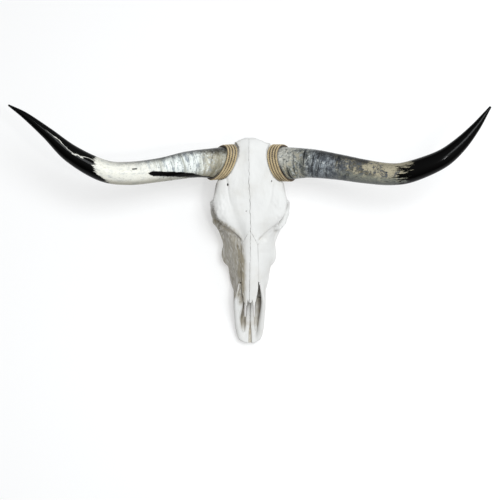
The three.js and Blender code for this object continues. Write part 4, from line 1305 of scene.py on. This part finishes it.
def coat(tree, colour, relief, depth_mm, strength, values):
    """The surface of a material, with its colour, a fine relief of that depth and its plain values."""
    inputs = {"Height": relief, "Distance": depth_mm * MM, "Strength": strength}
    bump = place(tree, "ShaderNodeBump", inputs)
    surface = place(tree, "ShaderNodeBsdfPrincipled", {"Base Color": colour, "Normal": bump, **values})
    place(tree, "ShaderNodeOutputMaterial", {"Surface": surface})


def bone_material(colours):
    """Bleached bone, dull and chalky, with stains and painted shade: the hollows, the nose and the animal's
    right side of the face are painted darker as shade, the seams are dark and the holes are painted dark, so
    the plates read apart.
    """
    names = ("hollow", "painted_side_shade", "seam", "tooth")
    material, tree, hollow, painted_side_shade, seam, tooth = new_material("BleachedBone", *names)
    space = in_millimetres(tree)
    # Stain lies in patches of 60 mm and blotches of 16 mm. The painted shade on the animal's right side of
    # the face is broken by grain and by darker streaks of 3 to 5 mm along the face.
    # Real pores are well under a millimetre, and are drawn at 1.6 mm so that they show.
    stain = mask(tree, (cloud(tree, space, (60, 60, 60), 4, 0.55), 0.42, 0.75, 0.0, 0.22))
    # Real stains in patches, together with the painted shade of the hollows.
    stain_and_shade = place(tree, "ShaderNodeMath", {0: mask(tree, (hollow, 0.52, 0.86)), 1: stain}, operation="MAXIMUM")
    blotch = cloud(tree, space, (16, 16, 16), 4, 0.55)
    grain = cloud(tree, space, (5, 41.7, 5), 4, 0.55)
    shade_streaks = cloud(tree, space, (3.4, 42.5, 3.4), 3, 0.55)
    filled = cloud(tree, space, (22, 22, 22), 2, 0.55)
    body = layered(
        tree, colours.bone,
        # Stains, and painted shade in the hollows and the nose.
        (colours.bone_stain_and_shade, stain_and_shade, (blotch, 0.2, 0.7, 0.45, 1.0)),
        # Painted shade on the animal's right side of the face, broken by grain, with darker painted streaks.
        (colours.bone_painted_side_shade, painted_side_shade, (grain, 0.3, 0.6, 0.36, 1.0)),
        (colours.bone_seam_and_shade, painted_side_shade, (shade_streaks, 0.54, 0.66, 0.0, 0.42)),
        # Dark seams along the midline, and painted shade inside the holes and the nose.
        (colours.bone_seam_and_shade, (seam, 0.9, 0.25), (filled, 0.34, 0.6, 0.35, 1.0)),
        (colours.enamel, tooth),
    )
    chalk = cloud(tree, space, (2.6, 8.67, 2.6), 5, 0.65)
    pores = mask(tree, (cloud(tree, space, (1.6, 1.6, 1.6), 2, 0.55), 0.62, 0.75, 0.0, 0.5))
    relief = place(tree, "ShaderNodeMath", {0: chalk, 1: pores}, operation="SUBTRACT")
    coat(tree, body, relief, 0.5, 0.5, {"Roughness": 0.62, "IOR": 1.5, "Specular IOR Level": 0.35})
    return material


def horn_space(tree, along, upper, front):
    """Coordinates in millimetres along a straightened horn, so that streaks and rings follow its bend."""
    spots = place(tree, "ShaderNodeCombineXYZ", {"X": along, "Y": upper, "Z": front})
    reach = (HORN_LENGTH, HORN_RADIUS, HORN_RADIUS)
    return place(tree, "ShaderNodeVectorMath", {0: spots, 1: reach}, operation="MULTIPLY")


def ring_noise(tree, space, size):
    """Noise that changes along the horn and hardly round it, as growth rings do."""
    return cloud(tree, space, (size, size * HORN_RADIUS / 3, math.inf), 4, 0.7)


def pale_horn(tree, colours, space, along, upper, front):
    """The horn with a cream middle: its body colour without the black tip."""
    # Milky lumps reach 26 mm round the horn and 8 mm along it, growth rings come every 5 to 19 mm, and
    # the specks of the worn sheath are 2.4 mm wide and drawn out along the horn.
    lumps = cloud(tree, space, (7.8, 26, 26), 5, 0.66)
    fine = cloud(tree, space, (4.5, 4.5, 4.5), 5, 0.72)
    speck = cloud(tree, space, (6, 2.4, 2.4), 3, 0.6)
    drawn = cloud(tree, space, (19.8, 9, 9), 5, 0.7, 70 / 9)
    body = layered(
        tree, colours.horn_mist,
        (colours.horn_milk, (lumps, 0.35, 0.53)),
        (colours.horn_moss, (ring_noise(tree, space, 19), 0.48, 0.62, 0.0, 0.7)),
        (colours.horn_slate, (ring_noise(tree, space, 7), 0.54, 0.68, 0.0, 0.6)),
        (colours.horn_sand, (along, 0.13, 0.09), (fine, 0.34, 0.56, 0.0, 0.8)),
        (colours.horn_brown, (along, 0.085, 0.05), (lumps, 0.62, 0.4, 0.3, 0.75)),
        (colours.horn_dark, (ring_noise(tree, space, 5), 0.56, 0.64), (along, 0.2, 0.12, 0.0, 0.75)),
        (colours.horn_slate, (speck, 0.56, 0.70, 0.0, 0.65)),
    )
    milk = layered(
        tree, colours.horn_cream,
        (colours.horn_mist, (drawn, 0.47, 0.68, 0.0, 0.45)),
        (colours.horn_sand, (drawn, 0.46, 0.30, 0.0, 0.45)),
        (colours.horn_brown, (speck, 0.58, 0.72, 0.0, 0.5)),
    )
    cleared = pushed(tree, along, lumps, 0.3)
    cleared = place(tree, "ShaderNodeMath", {0: upper, 1: -0.05, 2: cleared}, operation="MULTIPLY_ADD")
    edge = pushed(tree, upper, fine, 0.7)
    facing = mask(tree, (front, -0.4, -0.1))
    line = {"Value": along, "From Min": 0.12, "From Max": 0.345, "To Min": -1.0, "To Max": -0.25}
    middle = place(tree, "ShaderNodeMapRange", line)
    half = mask(tree, (along, 0.35, 0.325, 0.05, 0.16), (along, 0.08, 0.3, 0.6, 1.0))
    ragged = pushed(tree, upper, cloud(tree, space, (20, 5, 5)), 0.26)
    return layered(
        tree, body,
        (milk, (cleared, 0.23, 0.38)),
        (colours.horn_brown, (upper, -0.5, -0.95, 0.0, 0.6)),
        (colours.horn_dark, (edge, 0.42, 1.0), (along, 0.60, 0.28, 0.3, 0.9)),
        (colours.horn_black, stripe(tree, ragged, middle, half, 0.06), (along, 0.35, 0.345), facing),
        (
            colours.horn_black, stripe(tree, upper, 0.27, 0.03, 0.05),
            stripe(tree, along, 0.405, 0.008, 0.006), facing,
        ),
    )


def smoky_horn(tree, colours, space, along, upper):
    """The smoke grey horn: slate rings near the base, then cream and brown patches."""
    # Smoky lumps of 15 mm, fibrous cracks of 5 to 6 mm, specks of 3 mm, and rings every 8 and 18 mm.
    lumps = cloud(tree, space, (12, 15, 15), 6, 0.7)
    fine = cloud(tree, space, (6.5, 5, 5), 6, 0.75)
    speck = cloud(tree, space, (5.72, 2.6, 2.6), 4, 0.7)
    glow = cloud(tree, space, (6.3, 9, 9), 3, 0.6, 40 / 9)
    body = layered(
        tree, colours.horn_slate,
        (colours.horn_mist, (lumps, 0.42, 0.60)),
        (colours.horn_dark, (ring_noise(tree, space, 18), 0.47, 0.60, 0.0, 0.7)),
        (colours.horn_moss, (along, 0.18, 0.05), (fine, 0.34, 0.56, 0.0, 0.75)),
        (colours.horn_sand, (along, 0.18, 0.05), (fine, 0.34, 0.56), (lumps, 0.46, 0.58)),
        (colours.horn_milk, (glow, 0.56, 0.72), (along, 0.24, 0.2, 0.0, 0.65)),
        (colours.horn_dark, (ring_noise(tree, space, 8), 0.50, 0.61), (fine, 0.32, 0.52, 0.4, 1.0)),
    )
    patch = pushed(tree, lumps, fine, 0.55)
    outer = mask(tree, (along, 0.28, 0.54, 0.0, 0.13))
    high = mask(tree, upper, (along, 0.38, 0.48, 0.03, 0.13))
    for more in (outer, high):
        patch = place(tree, "ShaderNodeMath", {0: patch, 1: more}, operation="ADD")
    stone = layered(
        tree, colours.horn_slate,
        (colours.horn_brown, (fine, 0.40, 0.62)),
        (colours.horn_sand, (patch, 0.52, 0.64)),
        (colours.horn_moss, (upper, -0.2, -0.6, 0.0, 0.7)),
    )
    shaded = pushed(tree, upper, fine, 0.8)
    return layered(
        tree, body,
        (stone, (pushed(tree, along, lumps, 0.4), 0.22, 0.36)),
        (colours.horn_cream, (along, 0.11, 0.04), (upper, -0.5, 0.4), (fine, 0.36, 0.52, 0.0, 0.6)),
        (colours.horn_dark, (speck, 0.50, 0.66, 0.0, 0.6)),
        (
            colours.horn_dark, (shaded, 0.26, 0.80, 0.0, 0.9), (along, 0.08, 0.22, 0.2, 1.0),
            (along, 0.41, 0.38, 0.3, 1.0),
        ),
        (colours.horn_slate, (upper, -0.5, -0.9), (along, 0.1, 0.2, 0.0, 0.55)),
    )


def horn_material(colours, name):
    """Polished horn, glassy over clouded layers: cream and smoke near the base and jet black at the tip."""
    names = ("along", "upper", "front")
    material, tree, along, upper, front = new_material(f"PolishedHorn_{name}", *names)
    space = horn_space(tree, along, upper, front)
    streaks = cloud(tree, space, (36, 6, 6), 5, 0.65)
    if name == "right":
        body = pale_horn(tree, colours, space, along, upper, front)
        low = mask(tree, (upper, -0.15, -1.0, 0.0, 0.08))
        edge = place(tree, "ShaderNodeMath", {0: pushed(tree, along, streaks, 0.10), 1: low}, operation="ADD")
        bend = {0: cloud(tree, space, (66, 22, 22), 3, 0.6), 1: 1.3, 2: -0.28}
        middle = place(tree, "ShaderNodeMath", bend, operation="MULTIPLY_ADD")
        vein = mask(
            tree, stripe(tree, upper, middle, 0.025, 0.05), (along, 0.84, 0.76, 0.0, 0.85),
            (streaks, 0.36, 0.44), (front, -0.2, 0.1),
        )
        parts, how = {0: mask(tree, (edge, 0.579, 0.587)), 1: vein}, "SUBTRACT"
    else:
        body = smoky_horn(tree, colours, space, along, upper)
        edge = {0: upper, 1: -0.03, 2: pushed(tree, along, streaks, 0.34)}
        edge = place(tree, "ShaderNodeMath", edge, operation="MULTIPLY_ADD")
        parts, how = {0: mask(tree, (edge, 0.544, 0.558)), 1: mask(tree, (along, 0.595, 0.61))}, "MAXIMUM"
    black = place(tree, "ShaderNodeMath", parts, operation=how)
    body = layered(tree, body, (colours.horn_black, black))
    scratches = {0: cloud(tree, space, (12, 12, 12)), 1: 0.6, 2: cloud(tree, space, (12, 4, 4))}
    relief = place(tree, "ShaderNodeMath", scratches, operation="MULTIPLY_ADD")
    coat(tree, body, relief, 0.25, 0.3, {"Roughness": 0.13, "IOR": 1.5, "Specular IOR Level": 0.07})
    return material


def rope_material(colours):
    """Twisted sisal, dry and fibrous: pale yarns with brown shade between the strands."""
    material, tree, outward = new_material("SisalRope", "outward")
    space = in_millimetres(tree)
    # Sisal fibres are about 0.2 mm thick, and are drawn in tufts of 1.1 mm so that they show.
    fibre = cloud(tree, space, (1.1, 1.1, 1.1), 4, 0.7)
    tone = mask(tree, (fibre, 0.35, 0.7, 0.0, 0.4))
    patch = cloud(tree, space, (14, 14, 14), 3, 0.55)
    # Painted shade: the rope darkens where it lies low, between its strands and turns.
    for step in ((patch, 0.4, 0.7, 0.0, 0.2), (outward, 0.88, 0.5)):
        tone = place(tree, "ShaderNodeMath", {0: tone, 1: mask(tree, step)}, operation="ADD", use_clamp=True)
    body = layered(tree, colours.rope, (colours.rope_fibre_and_shade, tone))
    coat(tree, body, fibre, 0.5, 0.8, {"Roughness": 0.88, "Sheen Weight": 0.3, "Sheen Roughness": 0.5})
    return material


def floor_material(colours):
    """Matt white acrylic board, faintly lit from within so that shadows on it stay soft and pale."""
    material, tree = new_material("StudioBoard")
    waves = cloud(tree, in_millimetres(tree), (900, 900, 900), 2, 0.55)
    tone = layered(tree, colours.floor, (linear("#bcbcbc"), (waves, 0.3, 0.7, 0.0, 0.02)))
    glow = {"Emission Color": (1.0, 1.0, 1.0, 1.0), "Emission Strength": 0.435}
    coat(tree, tone, waves, 0.05, 0.1, {"Roughness": 0.9, "Specular IOR Level": 0.07, **glow})
    return material


# ---------------------------------------------------------------- the stage

CAMERA_HEIGHT = 2200.0
CAMERA_V = 232.0
HALF_VIEW = 620.0
HALF_SENSOR = 18.0
FLOOR_RINGS = (1.0, 2.5, 5.0, 9.0, 14.0)
SOFT_LIGHT_FROM = (0.46, 0.42, 0.78)
WARM_SIDE = (1.0, 0.96, 0.9, 1.0)
COOL_SIDE = (0.97, 0.985, 1.0, 1.0)

# Square lights: where each stands and looks in the face frame, its size in metres, watts and colour.
LIGHTS = {
    "key": ((520, 760, 2300), (0, 300, -60), 0.9, 34, (0.94, 0.975, 1.0)),
    "glint": ((400, 100, 1800), (480, 480, 120), 0.08, 4.5, (1.0, 1.0, 1.0)),
}


def face_direction(u, v, w):
    """A direction of the face frame in the world."""
    cos, sin = math.cos(TILT), math.sin(TILT)
    return Vector((u, v * cos - w * sin, v * sin + w * cos))


def aim(made, start, direction):
    """Puts a light or camera at a place, looking along a direction."""
    bpy.context.scene.collection.objects.link(made)
    made.location = start
    made.rotation_mode = "QUATERNION"
    made.rotation_quaternion = direction.to_track_quat("-Z", "Y")


def build_floor(colours):
    """A wide round floor."""
    count = 64
    turns = np.linspace(0, 2 * math.pi, count, endpoint=False)
    points = [(0.0, 0.0, 0.0)] + [(r * math.cos(t), r * math.sin(t), 0.0) for r in FLOOR_RINGS for t in turns]
    index = 1 + np.arange(len(points) - 1).reshape(-1, count)
    beside = np.roll(index, -1, 1)
    quads = np.stack([index[:-1], index[1:], beside[1:], beside[:-1]], 2).reshape(-1, 4)
    faces = [(0, a, b) for a, b in zip(index[0], beside[0])] + [*quads]
    floor = new_object("floor", points, faces, floor_material(colours))


def build_world():
    """Soft light from one side of the sky, cool where it is bright and warm where it is dim."""
    world = bpy.data.worlds.new("Studio")
    bpy.context.scene.world = world
    world.use_nodes = True
    tree = world.node_tree
    towards = {
        0: place(tree, "ShaderNodeTexCoord").outputs["Generated"],
        1: face_direction(*SOFT_LIGHT_FROM).normalized(),
    }
    facing = place(tree, "ShaderNodeVectorMath", towards, operation="DOT_PRODUCT").outputs["Value"]
    colour = layered(tree, WARM_SIDE, (COOL_SIDE, (facing, -0.2, 0.95)))
    strength = mask(tree, (facing, -0.1, 0.95, 0.08, 0.79))
    feed(tree, tree.nodes["Background"], {"Color": colour, "Strength": strength})


def build_stage(colours):
    """Pale floor, soft studio light and the camera that looks straight down on the face."""
    build_floor(colours)
    build_world()
    for name, (start, end, size, power, colour) in LIGHTS.items():
        light = bpy.data.lights.new(name, "AREA")
        light.shape = "SQUARE"
        light.size = size
        light.energy = power
        light.color = colour
        made = bpy.data.objects.new(name, light)
        made.visible_camera = False
        start, end = (Vector(p) for p in to_world([start, end]))
        aim(made, start, end - start)
    lens = bpy.data.cameras.new("camera")
    lens.sensor_width = 2 * HALF_SENSOR
    lens.lens = HALF_SENSOR * CAMERA_HEIGHT / HALF_VIEW
    lens.clip_start = 0.05
    lens.clip_end = 50
    camera = bpy.data.objects.new("camera", lens)
    aim(camera, Vector(to_world([(0, CAMERA_V, CAMERA_HEIGHT)])[0]), face_direction(0, 0, -1))
    bpy.context.scene.camera = camera
    bpy.context.scene.view_settings.view_transform = "Standard"


# ---------------------------------------------------------------- operators and panel


class LONGHORN_OT_bones(bpy.types.Operator):
    """Build the bones of the skull with their teeth"""

    bl_idname = "longhorn.bones"
    bl_label = "Bones"

    def execute(self, context):
        build_bones(context.scene.longhorn_sizes, context.scene.longhorn_colours)
        return {"FINISHED"}


class LONGHORN_OT_horns(bpy.types.Operator):
    """Build the two horns"""

    bl_idname = "longhorn.horns"
    bl_label = "Horns"

    def execute(self, context):
        build_horns(context.scene.longhorn_sizes, context.scene.longhorn_colours)
        return {"FINISHED"}


class LONGHORN_OT_wraps(bpy.types.Operator):
    """Build the rope wraps at the horn bases"""

    bl_idname = "longhorn.wraps"
    bl_label = "Rope Wraps"

    def execute(self, context):
        build_wraps(context.scene.longhorn_sizes, context.scene.longhorn_colours)
        return {"FINISHED"}


class LONGHORN_OT_stage(bpy.types.Operator):
    """Set the floor, the light and the camera"""

    bl_idname = "longhorn.stage"
    bl_label = "Stage"

    def execute(self, context):
        build_stage(context.scene.longhorn_colours)
        return {"FINISHED"}


OPERATORS = (LONGHORN_OT_bones, LONGHORN_OT_horns, LONGHORN_OT_wraps, LONGHORN_OT_stage)


class LONGHORN_PT_panel(bpy.types.Panel):
    """The skull's operators in the sidebar"""

    bl_label = "Longhorn Skull"
    bl_idname = "LONGHORN_PT_panel"
    bl_space_type = "VIEW_3D"
    bl_region_type = "UI"
    bl_category = "Longhorn"

    def draw(self, context):
        for operator in OPERATORS:
            self.layout.operator(operator.bl_idname)


CLASSES = (LonghornSizes, LonghornColours, *OPERATORS, LONGHORN_PT_panel)


def register():
    for item in CLASSES:
        bpy.utils.register_class(item)
    bpy.types.Scene.longhorn_sizes = bpy.props.PointerProperty(type=LonghornSizes)
    bpy.types.Scene.longhorn_colours = bpy.props.PointerProperty(type=LonghornColours)


def unregister():
    del bpy.types.Scene.longhorn_colours
    del bpy.types.Scene.longhorn_sizes
    for item in reversed(CLASSES):
        bpy.utils.unregister_class(item)


def main():
    """Builds everything in order."""
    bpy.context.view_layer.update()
    register()
    bpy.ops.longhorn.bones()
    bpy.ops.longhorn.horns()
    bpy.ops.longhorn.wraps()
    bpy.ops.longhorn.stage()


if __name__ == "__main__":
    main()
